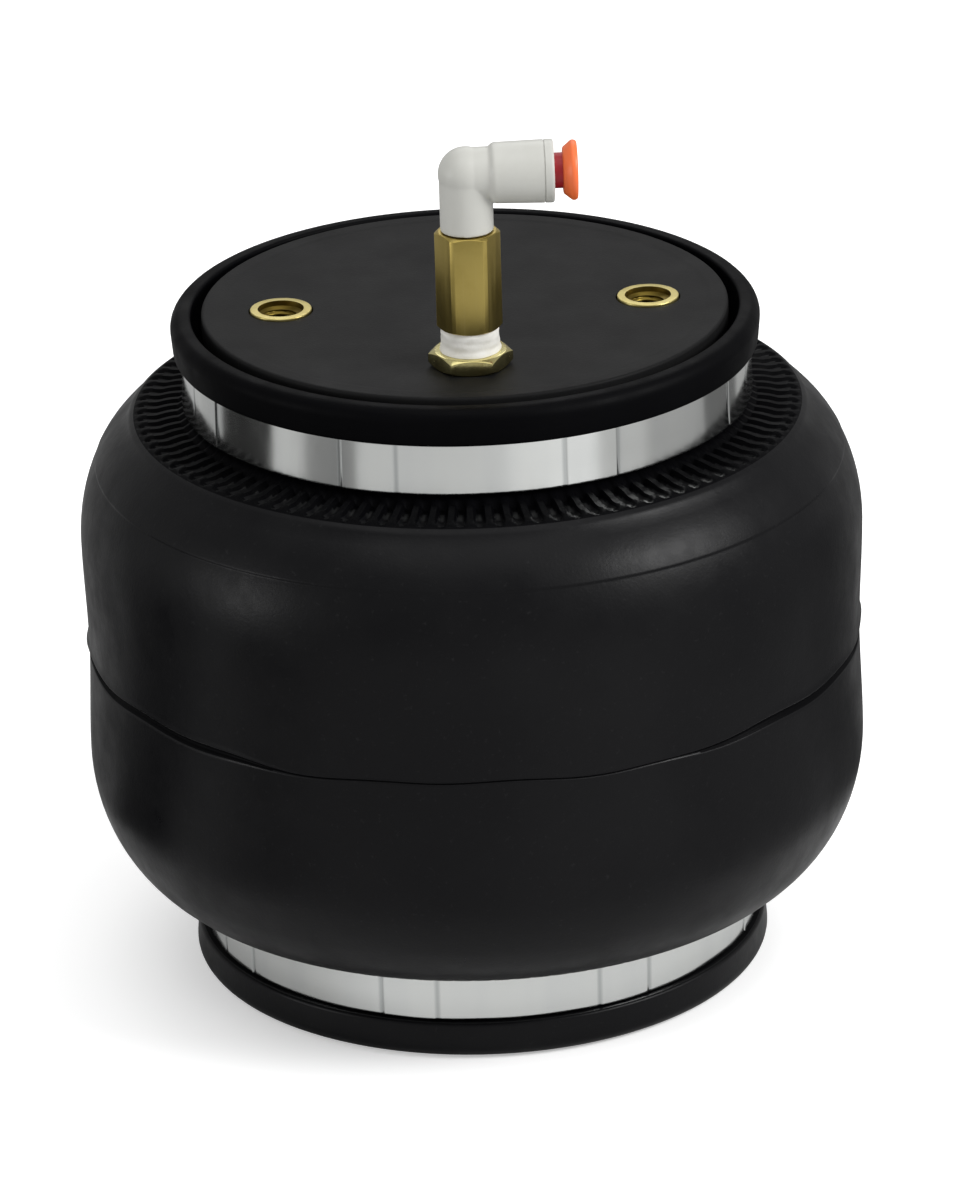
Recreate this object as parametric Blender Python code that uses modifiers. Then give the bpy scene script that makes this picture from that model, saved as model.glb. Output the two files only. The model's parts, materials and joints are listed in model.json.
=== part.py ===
"""Air bellows actuator: one wide rubber convolute clamped between two moulded end plates, with
threaded inserts in both faces and a swivelling push-in air fitting on the upper one.

Metres, +Z up. The origin is the centre of the lower mounting face, the inserts lie along X and
the air port is towards -Y, with its tube outlet towards +X."""

import math

import bmesh
import bpy
from mathutils import Matrix

# Whole actuator
FACE_TO_FACE = 0.169
STROKE_IN = 0.080
FIT = 0.0003

# How far a cutter reaches past the surface that it opens
OVERSHOOT = 0.001

# End plates
HUB_RADIUS = 0.0624
HUB_WALL = 0.0056
HUB_TAIL = 0.0024
DISC_LEDGE = 0.0014
DISC_THICKNESS = 0.0050
DISC_CHAMFER = 0.0006
BARB_COUNT = 2
BARB_HEIGHT = 0.0009
BARB_CREST = 0.6
BARB_ROOT = 0.4
RIB_COUNT = 12
RIB_THICKNESS = 0.0024
RIB_DEPTH = 0.0160
RING_RIB_RADIUS = 0.0340
CENTRE_BOSS_RADIUS = 0.0125
CENTRE_BOSS_BEVEL = 0.0002
BOSS_WALL = 0.0030
BOSS_BEVEL = 0.0004

# Threaded inserts, with their axes set in from the outside of the hub
INSERT_EDGE = 0.01795
INSERT_RADIUS = 0.0075
INSERT_FLANGE = 0.0018
INSERT_BARREL_RADIUS = 0.0066
INSERT_LENGTH = 0.0160
INSERT_GROOVE = 0.0008
INSERT_GROOVE_START = 0.0064
INSERT_GROOVE_END = 0.0106
GROOVE_SLOPE = 0.0006
UPPER_INSERT_PROUD = 0.0003
LOWER_INSERT_PROUD = 0.0
THREAD_RADIUS = 0.0041
THREAD_DEPTH = 0.0135
COUNTERSINK = 0.0009

# Bellows
BELLOWS_SEGMENTS = 48
WAIST_DEPTH = 0.0008
SHOULDER_STEP_OUT = 0.0027
SHOULDER_STEP_DOWN = 0.0008
SHOULDER_RADIAL = 0.0258
SHOULDER_AXIAL = 0.0340
WALL = 0.0045
LIP_PROUD = 0.0043
LIP_SETBACK = 0.0005
LIP_HEIGHT = 0.0096
LIP_GAP = 0.0025
LIP_SEAT = 0.0008
OUTER_ANGLES = (42.0, 20.0, 0.0)
INNER_ANGLES = (0.0, 45.0, 90.0)
RIDGES_PER_SEGMENT = 2
RIDGE_INSET = 0.0010
RIDGE_HEIGHT = 0.0012
RIDGE_ANGLES = (88.0, 66.0)
RIDGE_SEARCH = 0.0001

# Clamp bands
BAND_THICKNESS = 0.0016
BAND_HEIGHT = 0.0123
BAND_BEVEL = 0.0004
LAND_COUNT = 8
LAND_WIDTH = 0.0120
LAND_PROUD = 0.00025
LOWER_LAND_START = 28.1
UPPER_LAND_START = 20.6

# Bump stop
BUMP_CLEARANCE = 0.0012
BUMP_RADIUS = 0.0280
BUMP_NOSE_RADIUS = 0.0210
BUMP_NOSE_BEVEL = 0.0030
BUMP_NOSE_DROP = 0.0040
BUMP_TAPER = 0.0020
BUMP_WAIST = 0.0040
BUMP_EDGE = 0.0020
BUMP_BASE = 0.0080
SCREW_BEVEL = 0.0005
SCREW_RADIUS = 0.0040
SCREW_HEAD_FLATS = 0.0130
SCREW_HEAD_HEIGHT = 0.0053
SCREW_ENGAGEMENT = 0.0120
WASHER_RADIUS = 0.0100
WASHER_THICKNESS = 0.0016

# Air port bushing, with its axis set in from the outside of the hub
PORT_EDGE = 0.0214
PORT_FLATS = 0.01746
PORT_FLANGE = 0.0037
PORT_BARREL_RADIUS = 0.0084
PORT_BORE_RADIUS = 0.0064
PORT_LENGTH = 0.0165
PORT_GROOVE = 0.0008
PORT_GROOVE_START = 0.0066
PORT_GROOVE_END = 0.0109
PORT_BARREL_BEVEL = 0.0006
HEX_FACE_SHARE = 0.98
HEX_ENVELOPE_SHARE = 1.02
HEX_CHAMFER_ANGLE = 30.0
SPOT_FACE = 0.0005

# Extension between the bushing and the elbow
SEAL_HEIGHT = 0.0057
SEAL_WALL = 0.00055
SEAL_TAPER = 0.0003
SEAL_FOOT = 0.0002
SEAL_FOOT_HEIGHT = 0.0006
EXTENSION_FLATS = 0.0140
EXTENSION_LENGTH = 0.0240
NIPPLE_LENGTH = 0.0150
NIPPLE_BEVEL = 0.0008
AIR_RADIUS = 0.0020
POST_RADIUS = 0.0040
POST_HEIGHT = 0.0105
POST_BEVEL = 0.0004
POST_ROOT = 0.0010
SNAP_BEAD = 0.0007
SNAP_BEAD_LENGTH = 0.0027
SNAP_BEAD_START = 0.0004
SNAP_BEAD_WIDTH = 0.0008
O_RING_SECTION = 0.0005
O_RING_RADIUS = 0.00375
O_RING_HEIGHT = 0.0044
O_RING_PLAY = 0.0002

# Elbow and the push-in parts in it, with depths measured from the riser's axis
ELBOW_RISE = 0.0140
RISER_RADIUS = 0.0063
RISER_BEVEL = 0.0003
CORNER_RADIUS = 0.0067
NECK_RADIUS = 0.0061
HEAD_RADIUS = 0.0074
HEAD_START = 0.0064
HEAD_END = 0.0207
HEAD_BEVEL = 0.0006
TUBE_RADIUS = 0.003175
TUBE_PLAY = 0.00015
TUBE_STOP = 0.0075
PACKING_START = 0.0100
PACKING_LENGTH = 0.0024
PACKING_RADIUS = 0.0050
PACKING_LIP = 0.0003
PACKING_BEVEL = 0.0002
PACKING_BEVEL_LENGTH = 0.0004
CHAMBER_RADIUS = 0.0054
COLLET_SLOTS = 8
COLLET_SLOT_WIDTH = 0.0007
COLLET_SETBACK = 0.0005
COLLET_SHEET = 0.0006
TOOTH_LEAN = 0.0011
TOOTH_PLAY = 0.0001
COLLAR_WALL = 0.00055
COLLAR_LENGTH = 0.0029
COLLAR_LEAD = 0.0003
COLLAR_BEVEL = 0.0002
RELEASE_TRAVEL = 0.0015
RELEASE_STOP = 0.0006
RELEASE_NECK_RADIUS = 0.0042
RELEASE_FLANGE_RADIUS = 0.0072
RELEASE_FLANGE = 0.0034
RELEASE_BEVEL = 0.0009
RELEASE_DISH = 0.0014
RELEASE_FILLET = 0.0009
RELEASE_TIP = 0.0008
RELEASE_CATCH = 0.0003
RELEASE_COUNTERSINK = 0.0006

# Facets round a turned piece
PLATE_SEGMENTS = 48
BAND_SEGMENTS = 42
BUMP_SEGMENTS = 18
FITTING_SEGMENTS = 20
SMALL_SEGMENTS = 14
COLLET_SEGMENTS = COLLET_SLOTS * 3

# Sizes worked out from those above
DISC_RADIUS = HUB_RADIUS + DISC_LEDGE
INSERT_OFFSET = HUB_RADIUS - INSERT_EDGE
PORT_OFFSET = HUB_RADIUS - PORT_EDGE
EXTENSION_BOTTOM = PORT_FLANGE + SEAL_HEIGHT
EXTENSION_TOP = EXTENSION_BOTTOM + EXTENSION_LENGTH
ELBOW_AXIS = EXTENSION_TOP + ELBOW_RISE
RUBBER_INNER = HUB_RADIUS + FIT
RUBBER_OUTER = RUBBER_INNER + WALL
BAND_INNER = RUBBER_OUTER + FIT
BAND_OUTER = BAND_INNER + BAND_THICKNESS
BAND_START = LIP_HEIGHT + FIT
BAND_END = BAND_START + BAND_HEIGHT
HUB_DEPTH = BAND_END + HUB_TAIL
LIP_RADIUS = RUBBER_OUTER + LIP_PROUD
SHOULDER_CENTRE = RUBBER_OUTER + SHOULDER_STEP_OUT
SHOULDER_DEPTH = BAND_END + SHOULDER_STEP_DOWN + SHOULDER_AXIAL
BELLOWS_RADIUS = SHOULDER_CENTRE + SHOULDER_RADIAL
BORE_RADIUS = TUBE_RADIUS + TUBE_PLAY
COLLAR_OUTER = CHAMBER_RADIUS - FIT
COLLAR_INNER = COLLAR_OUTER - COLLAR_WALL
COLLAR_START = HEAD_END - FIT - COLLAR_LENGTH
RELEASE_GAP = RELEASE_TRAVEL + RELEASE_STOP


def new_collection(name):
    collection = bpy.data.collections.new(name)
    bpy.context.scene.collection.children.link(collection)
    return collection


def new_material(name, colour, roughness, metallic=0.0):
    material = bpy.data.materials.new(name)
    material.use_nodes = True
    shader = material.node_tree.nodes["Principled BSDF"]
    shader.inputs["Base Color"].default_value = (*colour, 1.0)
    shader.inputs["Roughness"].default_value = roughness
    shader.inputs["Metallic"].default_value = metallic
    material.diffuse_color = (*colour, 1.0)
    return material


def new_frame(name, location, rotation=(0.0, 0.0, 0.0)):
    frame = bpy.data.objects.new(name, None)
    frame.location = location
    frame.rotation_euler = rotation
    PARTS.objects.link(frame)
    return frame


def place(name, mesh, frame, location=(0.0, 0.0, 0.0), material=None):
    """A mesh as a named piece in a frame, or as a hidden cutter if it has no material."""
    obj = bpy.data.objects.new(name, mesh)
    obj.parent = frame
    obj.location = location
    if material is None:
        CUTTERS.objects.link(obj)
        obj.hide_render = True
        obj.display_type = "WIRE"
    else:
        PARTS.objects.link(obj)
        mesh.materials.append(material)
    return obj


def turned(name, profile, segments, frame, location=(0.0, 0.0, 0.0), material=None):
    """A solid of revolution about the frame's Z. The points (radius, height) run down its outer
    side. A profile that starts on the axis also ends there, and any other is closed."""
    count = len(profile)
    edges = [(i, i + 1) for i in range(count - 1)]
    if profile[0][0] > 0.0:
        edges.append((count - 1, 0))
    mesh = bpy.data.meshes.new(name)
    mesh.from_pydata([(radius, 0.0, height) for radius, height in profile], edges, [])
    obj = place(name, mesh, frame, location, material)
    screw = obj.modifiers.new("turn", "SCREW")
    screw.steps = segments
    screw.render_steps = segments
    screw.use_merge_vertices = True
    screw.merge_threshold = 0.00001
    return obj


def prism(name, radius, low, high, sides, frame, location=(0.0, 0.0, 0.0), material=None):
    """An upright prism, with a corner towards +X if its sides are a multiple of six."""
    shape = bmesh.new()
    turn = Matrix.Rotation(math.pi / 6.0, 4, "Z")
    lift = Matrix.Translation((0.0, 0.0, (low + high) / 2.0))
    bmesh.ops.create_cone(
        shape, cap_ends=True, segments=sides, radius1=radius, radius2=radius, depth=high - low,
        matrix=lift @ turn,
    )
    mesh = bpy.data.meshes.new(name)
    shape.to_mesh(mesh)
    shape.free()
    return place(name, mesh, frame, location, material)


def ring_of_boxes(name, count, inner, outer, width, low, high, frame, start=0.0):
    """Radial boxes in a ring, as one cutter or tool."""
    shape = bmesh.new()
    size = Matrix.Diagonal((outer - inner, width, high - low, 1.0))
    shift = Matrix.Translation(((inner + outer) / 2.0, 0.0, (low + high) / 2.0))
    for i in range(count):
        turn = Matrix.Rotation(start + 2.0 * math.pi * i / count, 4, "Z")
        bmesh.ops.create_cube(shape, size=1.0, matrix=turn @ shift @ size)
    mesh = bpy.data.meshes.new(name)
    shape.to_mesh(mesh)
    shape.free()
    return place(name, mesh, frame)


def combine(obj, tool, operation):
    modifier = obj.modifiers.new(tool.name, "BOOLEAN")
    modifier.operation = operation
    modifier.object = tool


def across_corners(flats):
    return flats / math.cos(math.pi / 6.0) / 2.0


def barrel_profile(radius, low, high, bevel):
    """A plain turned bar with bevelled ends, on the axis."""
    return [
        (0.0, high),
        (radius - bevel, high),
        (radius, high - bevel),
        (radius, low + bevel),
        (radius - bevel, low),
        (0.0, low),
    ]


def hex_chamfer(name, flats, low, high, frame):
    """The turned envelope that takes the corners off both ends of a hexagon."""
    wide = across_corners(flats) * HEX_ENVELOPE_SHARE
    face = flats / 2.0 * HEX_FACE_SHARE
    slope = (wide - face) * math.tan(math.radians(HEX_CHAMFER_ANGLE))
    profile = [
        (0.0, high),
        (face, high),
        (wide, high - slope),
        (wide, low + slope),
        (face, low),
        (0.0, low),
    ]
    return turned(name, profile, FITTING_SEGMENTS, frame)


# The end plates, drawn from their mounting face at 0 inwards
def hub_outline():
    """The barbed outside of the hub, from its inner end to the disc."""
    pitch = BAND_HEIGHT / BARB_COUNT
    points = [(HUB_RADIUS - 2.0 * BARB_HEIGHT, HUB_DEPTH)]
    for i in reversed(range(BARB_COUNT)):
        points.append((HUB_RADIUS, BAND_START + pitch * (i + BARB_CREST)))
        points.append((HUB_RADIUS - BARB_HEIGHT, BAND_START + pitch * (i + BARB_ROOT)))
    return points


def end_plate(name, frame, port_side=0.0):
    inside = HUB_RADIUS - BARB_HEIGHT - HUB_WALL
    profile = [
        (0.0, DISC_THICKNESS),
        (inside, DISC_THICKNESS),
        (inside, HUB_DEPTH),
        *hub_outline(),
        (DISC_RADIUS, DISC_THICKNESS),
        (DISC_RADIUS, DISC_CHAMFER),
        (DISC_RADIUS - DISC_CHAMFER, 0.0),
        (0.0, 0.0),
    ]
    plate = turned(name, profile, PLATE_SEGMENTS, frame, material=PLASTIC)
    root = DISC_THICKNESS / 2.0
    ribs = ring_of_boxes(
        f"{name}_ribs", RIB_COUNT, CENTRE_BOSS_RADIUS - RIB_THICKNESS, inside + HUB_WALL / 2.0,
        RIB_THICKNESS, root, RIB_DEPTH, frame,
    )
    combine(plate, ribs, "UNION")
    ring = [
        (RING_RIB_RADIUS - RIB_THICKNESS / 2.0, RIB_DEPTH - RIB_THICKNESS),
        (RING_RIB_RADIUS + RIB_THICKNESS / 2.0, RIB_DEPTH - RIB_THICKNESS),
        (RING_RIB_RADIUS + RIB_THICKNESS / 2.0, root),
        (RING_RIB_RADIUS - RIB_THICKNESS / 2.0, root),
    ]
    combine(plate, turned(f"{name}_ring", ring, RIB_COUNT, frame), "UNION")
    boss = barrel_profile(CENTRE_BOSS_RADIUS, root, RIB_DEPTH, CENTRE_BOSS_BEVEL)
    combine(plate, turned(f"{name}_boss", boss, SMALL_SEGMENTS, frame), "UNION")
    for side in (-1.0, 1.0):
        spot = (side * INSERT_OFFSET, 0.0, 0.0)
        deep = INSERT_LENGTH + FIT + BOSS_WALL / 2.0
        boss = barrel_profile(INSERT_RADIUS + FIT + BOSS_WALL, root, deep, BOSS_BEVEL)
        combine(plate, turned(f"{name}_insert_boss", boss, FITTING_SEGMENTS, frame, spot), "UNION")
        pocket = [
            (0.0, INSERT_LENGTH + FIT),
            (INSERT_BARREL_RADIUS + FIT, INSERT_LENGTH + FIT),
            (INSERT_BARREL_RADIUS + FIT, INSERT_FLANGE + FIT),
            (INSERT_RADIUS + FIT, INSERT_FLANGE + FIT),
            (INSERT_RADIUS + FIT, -OVERSHOOT),
            (0.0, -OVERSHOOT),
        ]
        hole = turned(f"{name}_insert_pocket", pocket, FITTING_SEGMENTS, frame, spot)
        combine(plate, hole, "DIFFERENCE")
    if port_side:
        cut_port(plate, frame, (0.0, port_side * PORT_OFFSET, 0.0))
    else:
        bolt = [
            (0.0, RIB_DEPTH + OVERSHOOT),
            (SCREW_RADIUS + FIT, RIB_DEPTH + OVERSHOOT),
            (SCREW_RADIUS + FIT, RIB_DEPTH - SCREW_ENGAGEMENT),
            (0.0, RIB_DEPTH - SCREW_ENGAGEMENT),
        ]
        combine(plate, turned(f"{name}_bolt_hole", bolt, SMALL_SEGMENTS, frame), "DIFFERENCE")
    return plate


def cut_port(plate, frame, spot):
    """The boss, the through hole and the spot face that the air port's bushing sits in."""
    boss_radius = PORT_BARREL_RADIUS + FIT + BOSS_WALL
    boss = barrel_profile(boss_radius, DISC_THICKNESS / 2.0, PORT_LENGTH, BOSS_BEVEL)
    combine(plate, turned("port_boss", boss, FITTING_SEGMENTS, frame, spot), "UNION")
    opening = [
        (0.0, PORT_LENGTH + OVERSHOOT),
        (PORT_BARREL_RADIUS + FIT, PORT_LENGTH + OVERSHOOT),
        (PORT_BARREL_RADIUS + FIT, SPOT_FACE),
        (across_corners(PORT_FLATS) + 2.0 * FIT, SPOT_FACE),
        (across_corners(PORT_FLATS) + 2.0 * FIT, -OVERSHOOT),
        (0.0, -OVERSHOOT),
    ]
    combine(plate, turned("port_opening", opening, FITTING_SEGMENTS, frame, spot), "DIFFERENCE")


def threaded_insert(name, frame, side, proud):
    """A blind brass insert with a flange in the face and a grooved barrel."""
    groove = INSERT_BARREL_RADIUS - INSERT_GROOVE
    profile = [
        (0.0, INSERT_LENGTH),
        (INSERT_BARREL_RADIUS, INSERT_LENGTH),
        (INSERT_BARREL_RADIUS, INSERT_GROOVE_END),
        (groove, INSERT_GROOVE_END - GROOVE_SLOPE),
        (groove, INSERT_GROOVE_START + GROOVE_SLOPE),
        (INSERT_BARREL_RADIUS, INSERT_GROOVE_START),
        (INSERT_BARREL_RADIUS, INSERT_FLANGE),
        (INSERT_RADIUS, INSERT_FLANGE),
        (INSERT_RADIUS, -proud),
        (THREAD_RADIUS + COUNTERSINK, -proud),
        (THREAD_RADIUS, -proud + COUNTERSINK),
        (THREAD_RADIUS, THREAD_DEPTH),
        (0.0, THREAD_DEPTH),
    ]
    spot = (side * INSERT_OFFSET, 0.0, 0.0)
    return turned(name, profile, SMALL_SEGMENTS, frame, spot, BRASS)


# The rubber bellows
def shoulder_point(angle, thinner=0.0):
    """A point of the shoulder's elliptical arc, 0 degrees at its widest and 90 at the clamp."""
    turn = math.radians(angle)
    radius = SHOULDER_CENTRE + (SHOULDER_RADIAL - thinner) * math.cos(turn)
    return radius, SHOULDER_DEPTH - (SHOULDER_AXIAL - thinner) * math.sin(turn)


def outer_half():
    """The outside from the lip at the end plate's rim to the widest part, as (radius, depth)."""
    gap = DISC_RADIUS + LIP_GAP
    round_off = (LIP_RADIUS - gap) / 3.0
    points = [
        (gap, LIP_SETBACK),
        (LIP_RADIUS - round_off, LIP_SETBACK),
        (LIP_RADIUS, LIP_SETBACK + round_off),
        (LIP_RADIUS, LIP_HEIGHT),
        (RUBBER_OUTER, LIP_HEIGHT),
        (RUBBER_OUTER, BAND_END + 2.0 * FIT),
    ]
    points.append(shoulder_point(RIDGE_ANGLES[0]))
    points.append(shoulder_point(RIDGE_ANGLES[1]))
    points.extend(shoulder_point(angle) for angle in OUTER_ANGLES)
    return points


def inner_half():
    """The inside from the widest part back to the lip, as (radius, depth)."""
    points = [shoulder_point(angle, WALL) for angle in INNER_ANGLES]
    points.extend([
        (RUBBER_INNER, HUB_DEPTH),
        (RUBBER_INNER, LIP_HEIGHT + FIT),
        (DISC_RADIUS + LIP_GAP, DISC_THICKNESS + LIP_SEAT),
    ])
    return points


def bellows_profile():
    """The closed section, down its outside from the upper lip and up its inside."""
    middle = FACE_TO_FACE / 2.0
    outside = outer_half()
    inside = inner_half()
    section = [(radius, FACE_TO_FACE - depth) for radius, depth in outside]
    section.append((BELLOWS_RADIUS - WAIST_DEPTH, middle))
    section.extend(reversed(outside))
    section.extend(reversed(inside))
    section.extend((radius, FACE_TO_FACE - depth) for radius, depth in inside)
    return section


def realised(obj):
    """The object with its modifiers applied, as an editable bmesh."""
    graph = bpy.context.evaluated_depsgraph_get()
    mesh = bpy.data.meshes.new_from_object(obj.evaluated_get(graph))
    shape = bmesh.new()
    shape.from_mesh(mesh)
    bpy.data.meshes.remove(mesh)
    return shape


def ridge_faces(shape):
    """The faces of both shoulders that carry the ridges."""
    inner, shallow = shoulder_point(RIDGE_ANGLES[0])
    outer, deep = shoulder_point(RIDGE_ANGLES[1])
    low = math.cos(math.pi / BELLOWS_SEGMENTS) * inner - RIDGE_SEARCH
    found = []
    for face in shape.faces:
        depths = [min(v.co.z, FACE_TO_FACE - v.co.z) for v in face.verts]
        radii = [math.hypot(v.co.x, v.co.y) for v in face.verts]
        in_depth = min(depths) > shallow - RIDGE_SEARCH and max(depths) < deep + RIDGE_SEARCH
        if in_depth and min(radii) > low and max(radii) < outer + RIDGE_SEARCH:
            found.append(face)
    return found


def bellows():
    """The turned rubber, then a ring of ridges raised on each shoulder."""
    obj = turned("bellows", bellows_profile(), BELLOWS_SEGMENTS, LOWER, material=RUBBER)
    bpy.context.view_layer.update()
    shape = realised(obj)
    obj.modifiers.clear()
    rings = set()
    for face in ridge_faces(shape):
        for edge in face.edges:
            if abs(edge.verts[0].co.z - edge.verts[1].co.z) < RIDGE_SEARCH:
                rings.add(edge)
    bmesh.ops.subdivide_edges(
        shape, edges=list(rings), cuts=RIDGES_PER_SEGMENT - 1, use_grid_fill=True
    )
    bmesh.ops.inset_individual(
        shape, faces=ridge_faces(shape), thickness=RIDGE_INSET, depth=RIDGE_HEIGHT,
        use_even_offset=True,
    )
    shape.to_mesh(obj.data)
    shape.free()
    return obj


# The swaged bands
def clamp_band(name, frame, land_start):
    """A turned ring with the raised lands that stay between the swaging jaws."""
    profile = [
        (BAND_INNER, BAND_END),
        (BAND_OUTER - BAND_BEVEL, BAND_END),
        (BAND_OUTER, BAND_END - BAND_BEVEL),
        (BAND_OUTER, BAND_START + BAND_BEVEL),
        (BAND_OUTER - BAND_BEVEL, BAND_START),
        (BAND_INNER, BAND_START),
    ]
    band = turned(name, profile, BAND_SEGMENTS, frame, material=ALUMINIUM)
    lands = ring_of_boxes(
        f"{name}_lands", LAND_COUNT, BAND_INNER + BAND_THICKNESS / 2.0, BAND_OUTER + LAND_PROUD,
        LAND_WIDTH, BAND_START + BAND_BEVEL, BAND_END - BAND_BEVEL, frame,
        math.radians(land_start),
    )
    combine(band, lands, "UNION")
    return band


# The bump stop on the lower plate
def bump_stop():
    low = RIB_DEPTH + FIT
    high = FACE_TO_FACE - STROKE_IN - RIB_DEPTH - BUMP_CLEARANCE
    tall = high - low
    well = WASHER_RADIUS + 2.0 * FIT
    neck = BUMP_RADIUS - BUMP_WAIST
    profile = [
        (well, high),
        (BUMP_NOSE_RADIUS - BUMP_NOSE_BEVEL, high),
        (BUMP_NOSE_RADIUS, high - BUMP_NOSE_DROP),
        (BUMP_NOSE_RADIUS + BUMP_TAPER, low + tall * 0.66),
        (neck, low + tall * 0.55),
        (neck, low + tall * 0.47),
        (BUMP_RADIUS, low + tall * 0.36),
        (BUMP_RADIUS, low + BUMP_EDGE),
        (BUMP_RADIUS - BUMP_EDGE, low),
        (SCREW_RADIUS + FIT, low),
        (SCREW_RADIUS + FIT, low + BUMP_BASE),
        (well, low + BUMP_BASE),
    ]
    turned("bump_stop", profile, BUMP_SEGMENTS, LOWER, material=RUBBER)
    seat = low + BUMP_BASE + FIT
    washer = [
        (SCREW_RADIUS + FIT, seat + WASHER_THICKNESS),
        (WASHER_RADIUS, seat + WASHER_THICKNESS),
        (WASHER_RADIUS, seat),
        (SCREW_RADIUS + FIT, seat),
    ]
    turned("bump_stop_washer", washer, SMALL_SEGMENTS, LOWER, material=STEEL)
    under_head = seat + WASHER_THICKNESS + FIT
    head_top = under_head + SCREW_HEAD_HEIGHT
    screw = prism(
        "bump_stop_screw", across_corners(SCREW_HEAD_FLATS), under_head, head_top, 6, LOWER,
        material=STEEL,
    )
    tip = RIB_DEPTH - SCREW_ENGAGEMENT + FIT
    shank = barrel_profile(SCREW_RADIUS, tip, head_top - SCREW_HEAD_HEIGHT / 2.0, SCREW_BEVEL)
    combine(screw, turned("screw_shank", shank, SMALL_SEGMENTS, LOWER), "UNION")


# The air port, measured upwards from the upper face
def port_bushing():
    low = -SPOT_FACE + FIT
    corner = across_corners(PORT_FLATS)
    bushing = prism("port_bushing", corner, low, PORT_FLANGE, 6, PORT, material=BRASS)
    envelope = hex_chamfer("port_chamfer", PORT_FLATS, low, PORT_FLANGE, PORT)
    combine(bushing, envelope, "INTERSECT")
    groove = PORT_BARREL_RADIUS - PORT_GROOVE
    barrel = [
        (0.0, PORT_FLANGE / 2.0),
        (PORT_BARREL_RADIUS, PORT_FLANGE / 2.0),
        (PORT_BARREL_RADIUS, -PORT_GROOVE_START),
        (groove, -PORT_GROOVE_START - GROOVE_SLOPE),
        (groove, -PORT_GROOVE_END + GROOVE_SLOPE),
        (PORT_BARREL_RADIUS, -PORT_GROOVE_END),
        (PORT_BARREL_RADIUS, -PORT_LENGTH + PORT_BARREL_BEVEL),
        (PORT_BARREL_RADIUS - PORT_BARREL_BEVEL, -PORT_LENGTH),
        (0.0, -PORT_LENGTH),
    ]
    combine(bushing, turned("port_barrel", barrel, FITTING_SEGMENTS, PORT), "UNION")
    bore = [
        (0.0, PORT_FLANGE + OVERSHOOT),
        (PORT_BORE_RADIUS, PORT_FLANGE + OVERSHOOT),
        (PORT_BORE_RADIUS, -PORT_LENGTH - OVERSHOOT),
        (0.0, -PORT_LENGTH - OVERSHOOT),
    ]
    combine(bushing, turned("port_bore", bore, FITTING_SEGMENTS, PORT), "DIFFERENCE")


def thread_seal():
    inner = PORT_BORE_RADIUS
    outer = inner + SEAL_WALL
    low = PORT_FLANGE + FIT
    high = EXTENSION_BOTTOM - FIT
    bulge = (low + high) / 2.0
    profile = [
        (inner, high),
        (outer - SEAL_TAPER, high),
        (outer, bulge),
        (outer + SEAL_FOOT, low + SEAL_FOOT_HEIGHT),
        (outer, low),
        (inner, low),
    ]
    turned("thread_seal", profile, FITTING_SEGMENTS, PORT, material=SEALANT)


def hex_extension():
    """A hexagon between a threaded nipple below and the elbow's swivel post above."""
    low, high = EXTENSION_BOTTOM, EXTENSION_TOP
    corner = across_corners(EXTENSION_FLATS)
    body = prism("hex_extension", corner, low, high, 6, PORT, material=BRASS)
    combine(body, hex_chamfer("extension_chamfer", EXTENSION_FLATS, low, high, PORT), "INTERSECT")
    nipple = PORT_BORE_RADIUS - FIT
    top = high + POST_HEIGHT
    groove_middle = high + O_RING_HEIGHT
    groove_half = O_RING_SECTION + O_RING_PLAY
    groove_radius = O_RING_RADIUS - O_RING_SECTION - FIT
    bead = POST_RADIUS + SNAP_BEAD
    bead_low = top - SNAP_BEAD_LENGTH
    core = [
        (0.0, top),
        (POST_RADIUS - POST_BEVEL, top),
        (bead, bead_low + SNAP_BEAD_START + SNAP_BEAD_WIDTH),
        (bead, bead_low + SNAP_BEAD_START),
        (POST_RADIUS, bead_low),
        (POST_RADIUS, groove_middle + groove_half),
        (groove_radius, groove_middle + groove_half),
        (groove_radius, groove_middle - groove_half),
        (POST_RADIUS, groove_middle - groove_half),
        (POST_RADIUS, high - POST_ROOT),
        (nipple, high - 2.0 * POST_ROOT),
        (nipple, low - NIPPLE_LENGTH + NIPPLE_BEVEL),
        (nipple - NIPPLE_BEVEL, low - NIPPLE_LENGTH),
        (0.0, low - NIPPLE_LENGTH),
    ]
    combine(body, turned("extension_core", core, FITTING_SEGMENTS, PORT), "UNION")
    bore = [
        (0.0, top + OVERSHOOT),
        (AIR_RADIUS, top + OVERSHOOT),
        (AIR_RADIUS, low - NIPPLE_LENGTH - OVERSHOOT),
        (0.0, low - NIPPLE_LENGTH - OVERSHOOT),
    ]
    combine(body, turned("extension_bore", bore, SMALL_SEGMENTS, PORT), "DIFFERENCE")
    bpy.ops.mesh.primitive_torus_add(
        major_segments=SMALL_SEGMENTS, minor_segments=6,
        major_radius=O_RING_RADIUS, minor_radius=O_RING_SECTION,
    )
    torus = bpy.context.object
    place("swivel_o_ring", torus.data, PORT, (0.0, 0.0, groove_middle), NITRILE)
    bpy.data.objects.remove(torus)


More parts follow.
